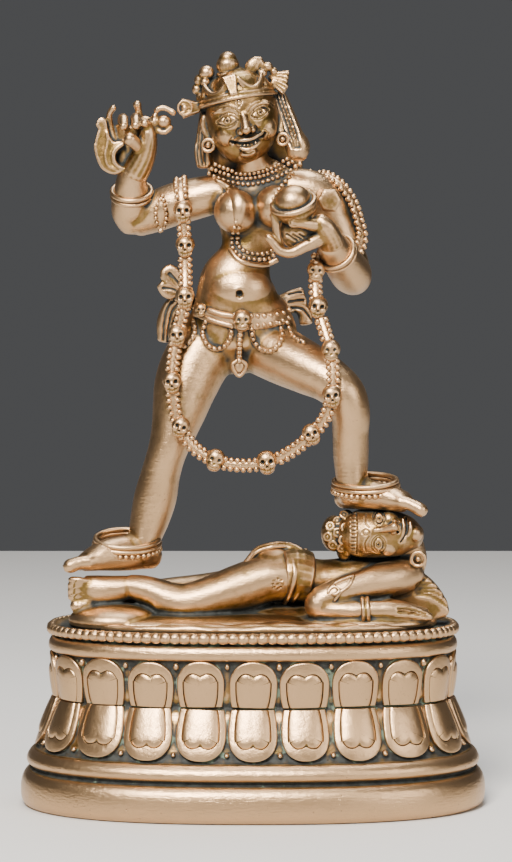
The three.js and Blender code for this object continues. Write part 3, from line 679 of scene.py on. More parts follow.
# Hands, with the flaying knife in the right and the heaped skull bowl in the left
hands = {
    "heel": [(-26, 0, 138.6, 3.1), (-24.6, -0.8, 141, 2.9), (-23.4, -1.8, 144, 2.5), (-22.9, -2.6, 146.8, 1.9),
             (-23.3, -3.6, 149.0, 1.15), (-23.6, -4.4, 149.2, 0.95)],
    "palm": [(-27.2, 1.2, 139.4, 2.4, 1.8), (-27.4, 1.4, 143.6, 3.2, 1.9), (-26.8, 1.4, 148.6, 3.6, 1.9)],
    "curled": [
        [(-28.4, 2.2, 147.4, 1.1), (-28.6, 0.4, 150.2, 1.2), (-28.3, -2.4, 150.3, 1.1), (-28.1, -4.2, 148.6, 1.05)],
        [(-25.8, 2.2, 147.6, 1.1), (-25.8, 0.4, 150.4, 1.2), (-25.6, -2.4, 150.4, 1.1), (-25.5, -4.3, 148.7, 1.05)],
    ],
    "thumb": [(-24.4, -1.2, 142.6, 1.5), (-25.4, -3.6, 144.6, 1.4), (-26.8, -4.6, 145.8, 1.55)],
    "blade": [(-28.2, 138.8), (-30.6, 138.3), (-33.0, 139.4), (-34.3, 141.8), (-34.8, 144.4), (-34.2, 147.1),
              (-33.9, 148.4), (-34.3, 148.8), (-34.1, 149.9), (-33.3, 150.7), (-32.3, 150.3), (-31.9, 148.8),
              (-31.3, 146.6), (-30.5, 145.4), (-28.6, 145.5), (-28.2, 144.7), (-29.6, 143.6), (-30.4, 142.3),
              (-30, 140.7), (-28.6, 139.4)],
    "bladeThick": 2.6,
    "bladeRidge": [(-28.6, 139.4), (-30.2, 140.6), (-30.6, 142.3), (-29.8, 143.9), (-28.4, 144.9)],
    "bladeRib": [(-29.2, 139.0), (-31.7, 140.2), (-32.3, 142.6), (-31.8, 145.0), (-31.9, 147.4)],
    "hook": [(-30.2, 0.8, 145.2, 1.1), (-30.9, 1.0, 147.2, 0.95), (-31.4, 1.0, 149.4, 0.8), (-31.5, 0.6, 151.6, 0.7),
             (-30.6, 0.2, 152.9, 0.75)],
    "knob": [(-25.0, 0.8, 150.4, 1.3, 1.2), (-25.1, 0.6, 152.2, 0.75, 0.75), (-25.4, 0.2, 153.6, 1.0, 1.0)],
    "vajra": {
        "collar": [(-23.6, -1.2, 149.7, 1.5), (-22.3, -1.9, 149.7, 1.1), (-21.4, -2.1, 149.7, 1.5), (-20.6, -2.3, 149.7, 1.1)],
        "ball": (-19.5, -2.5, 149.7, 1.45),
        "prongs": [
            [(-21.4, -2.2, 150.6, 0.6), (-21.2, -2.4, 152.0, 0.65), (-19.9, -2.5, 152.7, 0.65), (-18.3, -2.6, 152.2, 0.6),
             (-17.4, -2.6, 151.6, 0.75)],
            [(-21.4, -2.2, 148.9, 0.6), (-20.6, -2.4, 147.7, 0.65), (-19.2, -2.5, 147.4, 0.6), (-17.9, -2.6, 148.4, 0.55)],
        ],
    },
    "leftPalm": [(16.9, -9.2, 122.9, 3.0, 2.6), (16.1, -10.8, 124.6, 3.3, 2.6), (14.9, -12.3, 126.7, 3.0, 2.2),
                 (13.9, -12.8, 128.2, 2.0, 1.6)],
    "leftThumb": [(15.3, -12.3, 126.8, 1.9), (12.4, -13.8, 127.0, 1.4), (10.2, -14.8, 127.3, 1.15), (8.5, -15.4, 127.2, 1.05)],
    "bentFinger": [(15.3, -11.8, 124.4, 1.7), (11.2, -13.1, 122.4, 1.35), (7.6, -13.7, 120.9, 1.15), (6.0, -13.8, 121.3, 1.1),
                   (4.6, -13.8, 122.9, 0.95), (3.3, -13.8, 124.3, 0.85)],
    "upFinger": [(6.2, -13.1, 121.6, 0.9), (5.3, -13.3, 124, 0.9), (5.0, -13.5, 126.7, 0.95), (4.6, -13.7, 129.2, 1.0)],
    "darkPalm": [(9, -2.0, 126, 2.4), (9.4, -6, 126, 3.0), (9.9, -11.0, 125.6, 4.2)],
    "nail": (8.6, -16.0, 127.5),
    "bowlCentre": (8.8, -13.0, 131.2),
    "bowlTip": 30,
    "bowlRoll": -15,
    "staffStub": [(15.6, 1, 133.6, 2.2), (16.2, -4, 132.8, 2.6), (16.6, -8, 132.3, 2.8)],
    "voxel": 0.23,
}


def makePlate(outline, y, thick):                        # a flat shape given thickness, edges softened
    line = smoothLine([(x, z, 0) for x, z in outline + outline[:1]], 0.5)[:-1]
    bpy.ops.object.select_all(action="DESELECT")
    bpy.ops.mesh.primitive_circle_add(vertices=len(line), fill_type="NGON")
    obj = settle(bpy.context.object)
    moveTo(obj, np.column_stack((line[:, 0], np.full(len(line), y), line[:, 1])))
    finishWith(obj, "SOLIDIFY", thickness=thick, offset=0)
    bpy.ops.object.mode_set(mode="EDIT")
    bpy.ops.mesh.select_all(action="SELECT")
    bpy.ops.mesh.normals_make_consistent(inside=False)
    bpy.ops.object.mode_set(mode="OBJECT")
    return obj


def strandOver(points, y, radius, step=0.8, sides=8):    # a raised line over a flat shape
    return limb([(x, y, z, radius) for x, z in points], sides=sides, step=step, tip=0.8)


def makeBowl(look):                                      # a cup with a thick lip round a heaped mound
    bpy.ops.object.select_all(action="DESELECT")
    bpy.ops.mesh.primitive_uv_sphere_add(segments=32, ring_count=20, radius=1, scale=(4.9, 4.9, 4.0))
    cup = settle(bpy.context.object)
    bpy.ops.object.mode_set(mode="EDIT")
    bpy.ops.mesh.select_all(action="SELECT")
    bpy.ops.mesh.bisect(plane_co=(0, 0, 0.4), plane_no=(0, 0, 1), clear_outer=True, use_fill=True)
    bpy.ops.object.mode_set(mode="OBJECT")
    bpy.ops.object.select_all(action="DESELECT")
    bpy.ops.mesh.primitive_torus_add(major_radius=4.65, minor_radius=0.62, location=(0, 0, 0.5))
    lip = settle(bpy.context.object)
    mound = ball((0, 0.5, 0.8), (3.9, 3.8, 3.3), segments=32, rows=20)
    bowl = merged([cup, lip, mound], "bowl")
    bowl.rotation_euler = (math.radians(look["bowlTip"]), math.radians(look["bowlRoll"]), 0)
    bowl.location = look["bowlCentre"]
    return settle(bowl)


def makeHands(look):
    front = -look["bladeThick"] / 2 - 0.4
    vajra = look["vajra"]
    parts = [makePlate(look["blade"], -0.6, look["bladeThick"])]
    parts.append(strandOver(look["bladeRidge"], front, 0.55))
    parts.append(strandOver(look["bladeRib"], front, 0.45))
    for name in ("heel", "thumb", "hook", "knob", "leftThumb", "bentFinger", "upFinger"):
        parts.append(limb(look[name], sides=14, step=0.8, tip=0.9))
    for stations in look["curled"] + vajra["prongs"]:
        parts.append(limb(stations, sides=10, step=0.7, tip=0.9, facing=(0.2, -0.2, 1)))
    parts.append(limb(look["palm"], sides=16, step=1))
    parts.append(limb(vajra["collar"], sides=14, step=0.5))
    x, y, z, radius = vajra["ball"]
    parts.append(ball((x, y, z), (radius * 1.15, radius, radius)))
    parts.append(limb(look["leftPalm"], sides=16, step=0.9, facing=(0.4, 0.4, 0.8)))
    parts.append(limb(look["darkPalm"], sides=16, step=1, facing=upwards))
    parts.append(limb(look["staffStub"], sides=6, step=1, facing=upwards, tip=0.2))
    parts.append(makeBowl(look))
    obj = welded(parts, "hands_knife_and_bowl", look["voxel"], rounds=4)
    skin = Skin(obj)
    nail = [skin.line([(9.6, 127.9), (8.5, 128.0), (7.9, 127.5), (8.0, 126.9), (9.2, 126.6)], step=0.3)]
    incise(obj, nail, 0.22, 0.14)
    grooves = []
    for x in (9.4, 10.8, 12.2):
        grooves.append(skin.line([(x - 2.2, 124.9), (x - 1.0, 124.2), (x, 123.6)], step=0.4))
    incise(obj, grooves, 0.35, 0.25)
    return obj


handsPiece = makeHands(hands)
print("hands modelled", len(handsPiece.data.polygons))


# Fallen figure, lying on its side with its face turned to the viewer
fallen = {
    "nearLeg": [
        (-27.2, -5.4, 48.2, 2.6, 3.0), (-24.4, -5.9, 47.7, 3.0, 3.3), (-21.6, -6.4, 46.9, 3.3, 3.7),
        (-18.4, -7.1, 45.5, 3.9, 4.1), (-15.6, -7.7, 44.8, 4.2, 4.3), (-12.2, -7.7, 45.2, 4.4, 4.5),
        (-8.0, -7, 46.4, 4.7, 4.9), (-2.6, -5.9, 48.1, 5.1, 5.4), (3, -4.4, 49.8, 5.1, 6.2), (8.4, -3.2, 50.2, 5.2, 6.4),
    ],
    "farLeg": [(-38, 2.2, 43.6, 2.6, 2.8), (-30, 2.8, 44.6, 2.8, 3), (-20, 3.2, 45.2, 3.8, 3.6),
               (-10, 3.6, 45.6, 4.6, 4.4), (2, 3.4, 47, 5.4, 5.4), (8, 2, 48, 5.6, 5.4)],
    "trunk": [(4, -2.6, 49.6, 5.2, 6.6), (9, -2.4, 50.2, 5.4, 6.4), (13.5, -2, 49.6, 4.3, 5.8), (18.5, -1.6, 49.4, 4.5, 6),
              (24, -1.2, 49.8, 5, 6.8), (29.5, -1, 49.8, 5, 7), (34.4, -0.6, 48.8, 4.2, 5.4)],
    "hip": (4.6, -2.2, 51.6, 5.6, 5.6, 5.1),
    "neck": [(32.6, -0.8, 50, 4), (35.0, -1.6, 53.4, 3.4), (33.8, -2.6, 57, 3.8)],
    "upperArm": [(34.4, -3.6, 51.0, 3.9, 4), (31, -6.4, 50.2, 4.0, 3.9), (27.4, -8.2, 49.6, 3.8, 3.6),
                 (23.4, -9.5, 48.7, 3.3, 3.3), (19.2, -10.5, 47.6, 3.1, 3.1), (14.6, -10.9, 45.4, 3.3, 3.1)],
    "elbow": (14.5, -11.1, 44.7, 3.4, 3.0, 3.4),
    "forearm": [(14.2, -11.1, 44.2, 3.0, 2.9), (18, -12, 43.6, 2.5, 2.5), (22.4, -12.5, 43.5, 2.3, 2.3),
                (27, -12.6, 43.5, 2.3, 2.0), (31, -12.5, 43.4, 2.3, 1.8), (35, -12.2, 42.9, 1.8, 1.3),
                (38.6, -11.8, 42.0, 1.0, 0.8)],
    "underHand": [(24, -9.4, 44, 2.2, 1.8), (32, -9.6, 43.6, 2, 1.6), (37.8, -9.2, 42.6, 1.2, 1.2)],
    "foot": [(-27.4, -5.6, 48, 2.6, 2.8), (-30.4, -5.9, 47.5, 3.1, 2.8), (-33.6, -6.2, 47.2, 3.5, 2.6),
             (-36.6, -6.4, 47.1, 3.6, 2.1)],
    "toes": [(49.9, 0.74, -40.5), (48.7, 0.72, -40.7), (47.4, 0.72, -40.7), (46.1, 0.78, -40.6), (44.1, 1.3, -40.1)],
    "cape": [(30, 47), (32.4, 51.2), (35.4, 51.6), (38.4, 50.0), (41.0, 47.4), (42.6, 44.8), (43.0, 42.0), (40.6, 40.6),
             (34, 40.4), (30, 42)],
    "mounds": [((-10, -8, 40.4), (26, 9.0, 2.2)), ((-30, -6, 41), (10.4, 8.6, 3.6)), ((24, -7.5, 40.6), (15.5, 8.2, 2.3)),
               ((2, 0, 41), (34, 9, 3.4))],
    "voxel": 0.38,
}


def makeFallen(look):
    names = ("nearLeg", "farLeg", "trunk", "neck", "upperArm", "forearm")
    parts = [limb(look[name], sides=32, step=1) for name in names]
    parts.append(limb(look["underHand"], sides=20))
    parts.append(limb(look["foot"], sides=24, tip=0.3))
    for name in ("hip", "elbow"):
        parts.append(ball(look[name][:3], look[name][3:], segments=36, rows=22))
    for height, radius, tip in look["toes"]:
        toe = [(-35.6, -7.2, height * 0.8 + 47.2 * 0.2, radius), (-38, -8.0, height, radius * 0.95),
               (tip + radius, -7.8, height, radius)]
        parts.append(limb(toe, sides=10, tip=0.9, step=1))
    parts.append(makePlate(look["cape"], -1.4, 7))
    for centre, halves in look["mounds"]:
        parts.append(ball(centre, halves, segments=72, rows=24))
    obj = welded(parts, "fallen_body", look["voxel"], rounds=6)
    skin = Skin(obj)
    folds = []
    for x, z in ((42.6, 45.6), (41.6, 47.4), (40.2, 49.0), (43.0, 43.4), (38.6, 50.2)):
        folds.append(skin.line([(35.8, 47.6 + (z - 47) * 0.3), (0.5 * (35.8 + x), 0.5 * (48.2 + z)), (x, z)]))
    incise(obj, folds, 0.55, 0.34)
    grooves = []
    for rise in (0.35, -0.55):
        grooves.append(skin.line([(31.4, 44.0 + rise), (34.4, 43.7 + rise), (37.4, 42.7 + rise * 0.6)]))
    incise(obj, grooves, 0.45, 0.4)
    toeNails = []
    for height, radius, tip in look["toes"]:
        nail = [(tip + 1.9, height + radius * 0.6), (tip + 1.7, height), (tip + 1.9, height - radius * 0.6)]
        toeNails.append(skin.line(nail, step=0.3))
    incise(obj, toeNails, 0.22, 0.14)
    pits = [(5.4, 49.2)] + [(5.4 + 1.1 * math.cos(t), 49.2 + 1.1 * math.sin(t)) for t in np.arange(8) * math.pi / 4]
    for x, z in pits:
        push(obj, skin.front(x, z), 0.42, (0, 0.5, 0))
    return obj


# Fallen figure's waist cloth, bands and arm rings
fallenDress = {
    "cloth": [(7.0, -3.2, 50.4, 5.6, 6.9), (9.2, -3, 50.5, 5.9, 7.1), (12.2, -2.6, 50.0, 5.5, 6.9)],
    "flutes": [
        [(8.2, 56.0), (9.1, 51.6), (8.3, 47.4), (7.0, 44.4)],
        [(9.9, 56.2), (10.9, 51.6), (10.1, 47.6), (8.4, 44.4)],
        [(11.6, 55.6), (12.6, 51.4), (11.8, 47.8), (9.9, 45.0)],
    ],
    "hem": [(-1.6, 53.4), (1.2, 56.2), (4.2, 57.1), (7.6, 57.0), (10.4, 55.9), (12.4, 54.0)],
    "bracelet": (24.3, -12.6, 43.6, 2.75),
    "armlet": [
        [(21.9, 51.2), (19.6, 50.4), (16.9, 48.9), (16.2, 47.6)],
        [(21.9, 51.2), (21.0, 49.4), (19.2, 47.9), (17.6, 45.9)],
        [(16.4, 48.2), (17.6, 48.9), (18.6, 48.4), (18.2, 47.4), (17.2, 47.3)],
    ],
}


def strandOn(skin, points, radius, lift=0, sides=8, step=0.7):   # a raised line laid on the front of a skin
    laid = skin.line(points, lift, step)
    return limb([(*place, radius) for place in laid], sides=sides, step=step, tip=0.8)


def ringRound(centre, radius, way, thick, sides=10):      # a bangle round a limb that runs along way
    bpy.ops.object.select_all(action="DESELECT")
    turn = Vector(way).to_track_quat("Z", "Y").to_euler()
    bpy.ops.mesh.primitive_torus_add(
        major_segments=40, minor_segments=sides, major_radius=radius, minor_radius=thick, location=centre, rotation=turn
    )
    return settle(bpy.context.object)


def makeFallenDress(look, body):
    skin = Skin(body)
    parts = [limb(look["cloth"], sides=24, step=1, tip=0.15)]
    for flute in look["flutes"]:
        parts.append(strandOn(skin, flute, 0.62, 0.35))
    for lift, radius in ((0.1, 0.62), (-0.6, 0.5)):
        laid = [(x, skin.front(x, z - 0.8, 0, -2).y * 0.5 - 1.6 + lift, z + lift * 0.7, radius) for x, z in look["hem"]]
        parts.append(limb(laid, sides=8, step=0.8, tip=0.8))
    x, y, z, radius = look["bracelet"]
    for shift in (-0.55, 0.55):
        parts.append(ringRound((x + shift, y, z), radius, (1, 0, 0.05), 0.5))
    for leaf in look["armlet"]:
        parts.append(strandOn(skin, leaf, 0.38, 0.1))
    return welded(parts, "fallen_dress", 0.22, rounds=2)


fallenHead = {
    "skull": [(20.8, -4.6, 59.7, 4.2, 4.6), (22.4, -5, 59.7, 5.0, 5.5), (25, -5.4, 59.8, 5.3, 6.1), (28.4, -5.5, 59.8, 5.3, 6.3),
              (31.6, -5.5, 59.6, 4.9, 6.0), (34.2, -5.6, 59.3, 4.0, 5.2), (36, -5.8, 58.9, 2.6, 3.8)],
    "lumps": [(29.4, -9.4, 57.4, 2.2), (29.6, -9.0, 63.0, 2.0), (35.2, -9.2, 60.0, 1.8)],
    "lids": [(27.3, -10.8, 57.9, 1.2, 0.9, 1.6), (27.4, -10.5, 63.3, 1.1, 0.9, 1.35)],
    "nose": [(26.4, -11.3, 60.9, 0.6), (28.0, -11.7, 61.1, 0.65), (29.6, -12.2, 61.5, 0.85), (30.6, -12.5, 61.8, 1.0)],
    "wings": [(30.4, -11.7, 60.7, 0.7), (30.7, -11.6, 62.8, 0.65)],
    "lips": [
        [(32.5, -10.5, 63.4, 0.3), (32.7, -11.1, 61.8, 0.42), (32.4, -11.1, 60.1, 0.4), (31.6, -10.7, 58.8, 0.28)],
        [(34.1, -10.2, 62.8, 0.3), (34.2, -10.7, 61.4, 0.48), (33.8, -10.7, 60.0, 0.45), (32.9, -10.3, 58.8, 0.3)],
    ],
    "voxel": 0.185,
}


def makeFallenHead(look):
    parts = [limb(look["skull"], sides=44, step=0.9)]
    for x, y, z, radius in look["lumps"] + look["wings"]:
        parts.append(ball((x, y, z), (radius,) * 3, segments=28, rows=18))
    for x, y, z, *halves in look["lids"]:
        parts.append(ball((x, y, z), halves))
    parts.append(limb(look["nose"], sides=12, step=0.6, tip=0.9, facing=(0, -0.7, 0.7)))
    for lip in look["lips"]:
        parts.append(limb(lip, sides=10, step=0.6, tip=0.8))
    obj = welded(parts, "fallen_head", look["voxel"], rounds=8)
    skin = Skin(obj)
    for x, z, tall, wide in ((27.2, 57.85, 1.55, 1.05), (27.35, 63.5, 1.25, 0.95)):
        turns = np.linspace(0, 2 * math.pi, 21)
        outline = [(x + wide * math.sin(t) * abs(math.sin(t)) ** 0.3, z + tall * math.cos(t)) for t in turns]
        wider = [(x + (a - x) * 1.45, z + (b - z) * 1.3) for a, b in outline]
        incise(obj, [skin.line(outline, step=0.3)], 0.26, 0.24)
        incise(obj, [skin.line(wider, step=0.3)], 0.22, 0.12)
        incise(obj, [skin.line(circle2(x, z, 0.55), step=0.2)], 0.18, 0.14)
        push(obj, skin.front(x, z), 0.32, (0, 0.5, 0))
    cuts = [
        skin.line([(33.3, 63.5), (33.5, 61.8), (33.1, 60.0), (32.1, 58.4)], step=0.3),
        skin.line([(24.6, 64.3), (24.4, 62.6), (25.2, 61.6)], step=0.3),
        skin.line([(24.5, 56.3), (24.3, 58.2), (25.1, 59.7)], step=0.3),
        skin.line([(23.6, 60.5), (24.4, 61.2), (25.2, 60.5), (24.4, 59.8), (23.6, 60.5)], step=0.25),
    ]
    incise(obj, cuts[:1], 0.32, 0.45)
    incise(obj, cuts[1:], 0.24, 0.15)
    for z in (60.55, 62.75):
        push(obj, skin.front(31.4, z), 0.42, (-0.2, 0.6, 0))
    hatches = []
    for z in np.arange(55.8, 64.8, 0.85):
        hatches.append(skin.line([(21.3, z), (22.3, z)], step=0.3))
    incise(obj, hatches, 0.24, 0.3)
    incise(obj, [skin.line([(22.5, 55.6), (22.5, 60), (22.5, 64.8)], step=0.5)], 0.26, 0.24)
    lashes = []
    for z in (54.9, 55.6, 56.3):
        lashes.append(skin.line([(25.4 + (z - 55) * 0.2, z), (24.2, z - 0.3)], step=0.3))
    incise(obj, lashes, 0.18, 0.14)
    return obj


fallenHair = {
    "bun": [((17.8, -3.6, 59.6), (2.9, 3.9, 4.0)), ((20.6, -3.6, 59.6), (2.6, 5, 5.3)), ((20.2, -3, 55.8), (1.9, 3, 2.4))],
    "curls": [(18.5, 60.1), (16.8, 61.5), (18.5, 62.6), (16.3, 59.2), (17.4, 57.4), (19.4, 56.7), (19.6, 58.6), (20.1, 61.3),
              (19.9, 63.9)],
}


def makeFallenHair(look):
    skin = Skin(merged([ball(centre, halves) for centre, halves in look["bun"]], "bun_guide"))
    bpy.data.objects.remove(bpy.data.objects["bun_guide"])
    parts = [ball(centre, halves) for centre, halves in look["bun"]]
    for x, z in look["curls"]:
        place = skin.front(x, z, 0.1)
        away = (place - Vector((18.6, -1.6, 59.6))).normalized()
        parts.append(ringRound(place, 0.82, away, 0.34, sides=8))
        parts.append(ball(place + away * 0.05, (0.36,) * 3, segments=8, rows=6))
    return welded(parts, "fallen_hair", 0.18, rounds=1)


fallenBody = makeFallen(fallen)
fallenDressPiece = makeFallenDress(fallenDress, fallenBody)
fallenHeadPiece = makeFallenHead(fallenHead)
fallenHairPiece = makeFallenHair(fallenHair)
print("fallen figure modelled", len(fallenBody.data.polygons), len(fallenHeadPiece.data.polygons))


# Garland: two strands of beads side by side between severed heads
garland = {
    "front": [
        (-16.0, 3.0, 137.2), (-15.9, -0.8, 135.6), (-15.3, -2.6, 130), (-14.9, -3.2, 122.4), (-14.8, -3.8, 116.9),
        (-14.8, -5.6, 111.2), (-16.5, -6.2, 103), (-17.6, -7.2, 92.8), (-15.8, -7.9, 83.1), (-12.6, -8.6, 78.6),
        (-8.2, -9.3, 76), (-2.8, -10.2, 75.0), (3, -11, 75.6), (8.4, -12, 78.2), (12.7, -13, 81.8), (15.6, -13.6, 85.6),
        (17, -13.8, 90), (17.3, -13.4, 95), (16.8, -12.4, 99.8), (15.4, -10.8, 104.6), (14.1, -8.8, 109.1),
        (13.6, -7.2, 113), (13.7, -6.2, 116.9), (14.2, -5, 120.2),
    ],
    "overLeftArm": [(15.0, -3.6, 119.4), (20, -1.6, 120.2), (23.4, 1, 122.4), (24, 2.2, 125), (23.2, 1.6, 128.6),
                    (21.8, 1.2, 132.6), (19, 2, 136.4), (15.4, 4.6, 138.6), (13.2, 7, 138.4)],
    "overRightArm": [(-16.0, 2.6, 137.3), (-16.2, 5.6, 137.2), (-15.8, 8.2, 135)],
    "acrossBack": [(-15.8, 8.2, 135), (-8, 9.8, 132.6), (0, 11.4, 132.4), (8, 10.6, 135.4), (13.2, 7, 138.4)],
    "apart": 0.92,
    "beadRadius": 0.72,
    "pitch": 1.36,
    "heads": [
        (-15.3, 130.0, 0, 1), (-14.8, 122.4, 0, 1), (-14.8, 111.2, 0.05, 1), (-16.5, 103.0, 0.1, 0.95),
        (-17.6, 92.8, 0.05, 1), (-15.8, 83.1, -0.35, 0.95), (-8.2, 76.0, -0.3, 1), (3.0, 75.6, 0.1, 1.06),
        (12.7, 81.8, 0.35, 0.95), (17.0, 90.0, 0.1, 1), (16.8, 99.8, 0, 0.98), (14.1, 109.1, -0.1, 1),
        (13.7, 116.9, -0.1, 0.95),
    ],
}


def makeSeveredHead(worn):                               # a small head with sunk eyes and a toothed jaw
    parts = [ball((0, 0, 0.55), (2.15, 1.8, 2.05)), ball((0, -0.25, -1.0), (1.6, 1.5, 1.45))]
    if not worn:
        parts += [ball((side * 1.15, -1.1, -0.4), (0.7, 0.6, 0.6)) for side in (-1, 1)]
        parts.append(ball((0, -1.65, -0.35), (0.38, 0.4, 0.7)))
    obj = welded(parts, "severed_head", 0.235, rounds=2)
    skin = Skin(obj)
    for side in (-1, 1):
        push(obj, skin.front(side * 0.82, 0.35), 0.62, (0, 0.62 if worn else 1.0, 0))
    push(obj, skin.front(0, -0.75), 0.4, (0, 0.3 if worn else 0.6, 0))
    jaw = [skin.line([(-1.0, -1.35), (0, -1.6), (1.0, -1.35)], step=0.3)]
    incise(obj, jaw, 0.3, 0.12 if worn else 0.26)
    if not worn:
        teeth = [skin.line([(x, -1.15), (x, -1.95)], step=0.25) for x in (-0.6, 0, 0.6)]
        incise(obj, teeth, 0.2, 0.16)
    return obj


def makeGarland(look):
    chance = random.Random(11)
    line = smoothLine(look["front"], 0.4)
    crisp, worn = [], []
    for x, z, turn, size in look["heads"]:
        nearest = line[np.argmin(np.hypot(line[:, 0] - x, line[:, 2] - z))]
        place = Matrix.Translation((x, nearest[1] - 0.5, z)) @ Matrix.Rotation(-turn, 4, "Y") @ Matrix.Scale(size, 4)
        (worn if chance.random() < 0.3 else crisp).append(place)
    heads = [copiesOf(makeSeveredHead(False), crisp, "crisp_heads"), copiesOf(makeSeveredHead(True), worn, "worn_heads")]
    taken = [(x, z) for x, z, _, _ in look["heads"]]
    beads = []
    cores = []
    for name in ("front", "overLeftArm", "overRightArm", "acrossBack"):
        facing = {"overLeftArm": (0.5, -0.7, 0.5), "acrossBack": (0, 1, 0.2), "overRightArm": (-0.3, 0, 1)}.get(name, towardsViewer)
        places = []
        for place in placesAlong(look[name], look["pitch"], facing, (-look["apart"], look["apart"]), 0.1):
            spot = place.translation
            free = name != "front" or min(math.hypot(spot.x - x, spot.z - z) for x, z in taken) > 2.0
            if free:
                size = chance.uniform(0.88, 1.1)
                places.append(place @ Matrix.Diagonal((1, size, size, 1)))
        beads.append(copiesOf(bead(look["beadRadius"], 0.92), places, "garland_beads"))
        cores.append(limb([(*point, 0.95, 0.42) for point in look[name]], sides=10, facing=facing, step=1))
    strands = merged(beads + cores, "garland_strands")
    return strands, merged(heads, "garland_heads")


garlandStrands, garlandHeads = makeGarland(garland)
print("garland modelled", len(garlandStrands.data.polygons), len(garlandHeads.data.polygons))


# Hair and crown
hair = {
    "back": [(-4.4, 3.0, 157.6, 5.6, 5), (-3.2, 5, 153.6, 8.2, 4.8), (-1.4, 7, 148, 10.0, 4.4), (0.2, 8, 142.6, 10.8, 3.6),
             (0.9, 8.4, 137.2, 9.8, 2.8), (0.9, 8.4, 133, 7.0, 2.0)],
    "sides": [
        [(-9.6, 1.8, 153.4, 1.8, 2.6), (-10.4, 2, 149.6, 1.7, 2.6), (-10.6, 2.2, 146.6, 1.9, 2.4),
         (-11.0, 2.2, 143.4, 2.0, 2.1), (-10.6, 2.2, 140.6, 1.9, 2)],
        [(4.4, 0.6, 157.6, 1.8, 2.2), (6.0, 0.4, 154, 2.0, 2.4), (7.6, 0, 150.4, 2.0, 2.4), (8.8, -0.6, 146.8, 2.3, 2.4),
         (9.8, -1, 144, 2.8, 2.5), (9.6, -1, 142.2, 2.2, 2.2)],
    ],
    "cap": (-4.0, 0.4, 156.2, 7.9, 7.6, 5.0),
}


def makeHair(look):
    parts = [limb(look["back"], sides=24, step=1.2)]
    parts += [limb(stations, sides=14, step=1) for stations in look["sides"]]
    x, y, z, *halves = look["cap"]
    parts.append(ball((x, y, z), halves, turn=-0.22, segments=28, rows=16))
    obj = welded(parts, "hair", 0.3, rounds=3)
    skin = Skin(obj)
    strands = []
    for shift in np.arange(-8.4, 9.6, 1.05):
        path = [(-4.2 + shift * 0.55, 159.6), (-3.2 + shift * 0.85, 154), (-1.4 + shift, 147), (0.4 + shift * 1.05, 140),
                (0.9 + shift * 0.8, 133)]
        even = smoothLine([(a, b, 0) for a, b in path], 0.8)
        strands.append([tuple(skin.back(a, b)) for a, b, _ in even])
    for shift in (-1.3, -0.4, 0.5, 1.4):
        strands.append(skin.line([(5.0 + shift, 157), (6.6 + shift, 152), (8.2 + shift, 147.4), (9.4 + shift * 0.6, 144)]))
    for shift in (-1.2, -0.3, 0.6):
        strands.append(skin.line([(-10.4 + shift, 152), (-10.9 + shift, 147), (-11.2 + shift, 142.4), (-10.8 + shift, 139.6)]))
    incise(obj, strands, 0.46, 0.42)
    return obj


crown = {
    "knob": [(-5.3, -2.8, 158.4, 2.2), (-5.4, -2.9, 159.8, 1.9), (-5.4, -3, 160.5, 2.2), (-5.5, -3, 161.6, 2.5),
             (-5.5, -3, 162.6, 2.45), (-5.5, -3, 163.3, 2.0)],
    "knobRings": [(-5.4, -2.9, 159.8, 2.25, 0.42)],
    "leftCluster": [((-10.1, -2.6, 160.3), (1.75, 1.6, 1.6)), ((-11.6, -1.6, 158.8), (1.3, 1.2, 1.3)),
                    ((-10.4, -3.2, 158.2), (1.1, 1.0, 1.0)), ((-12.2, -0.8, 156.9), (1.2, 1.3, 1.3)),
                    ((-11.4, -1.4, 155.0), (1.1, 1.2, 1.2)), ((-12.0, -0.4, 153.2), (1.2, 1.2, 1.3))],
    "rightLeaf": [(-0.9, -3.6, 160.2, 1.2, 0.9), (0.0, -3.8, 161.8, 1.6, 0.9), (1.2, -3.6, 162.6, 1.3, 0.8),
                  (1.9, -3.2, 161.6, 0.9, 0.8)],
    "rightKnobs": [((3.2, -3.0, 161.6), (1.15, 1.1, 1.05)), ((4.5, -2.6, 160.6), (0.9, 0.9, 0.9)),
                   ((2.0, -3.4, 160.2), (1.1, 1.0, 1.0))],
}


def crownPoint(turn, rise, out=0):                       # round the tilted brow band, turn 0 towards the viewer
    x = (8.1 + out) * math.sin(turn)
    y = -(8.6 + out) * math.cos(turn)
    height = 155.0 + rise
    lean = math.radians(11.5)
    across = x * math.cos(lean) - rise * math.sin(lean)
    return (-3.4 + across, -0.2 + y, height + x * math.sin(lean) * 0.9)


def makeFan(start, end, halfStart, halfEnd, thick, pleats, face=towardsViewer):   # a pleated fan-shaped ribbon end
    a, b = Vector(start), Vector(end)
    way = (b - a).normalized()
    side = way.cross(Vector(face)).normalized()
    parts = [limb([(*a, halfStart, thick), (*((a + b) / 2), (halfStart + halfEnd) / 2, thick), (*b, halfEnd, thick)],
                  sides=14, facing=face, tip=0.5, step=0.8)]
    front = Vector(face).normalized() * thick * 0.9
    for i in range(pleats):
        share = (i + 0.5) / pleats * 2 - 1
        first = a + side * halfStart * share * 0.8 + front
        last = b + side * halfEnd * share * 0.92 + front
        parts.append(limb([(*first, 0.24), (*last, halfEnd / pleats * 0.62)], sides=8, step=0.9, tip=0.8))
    return parts


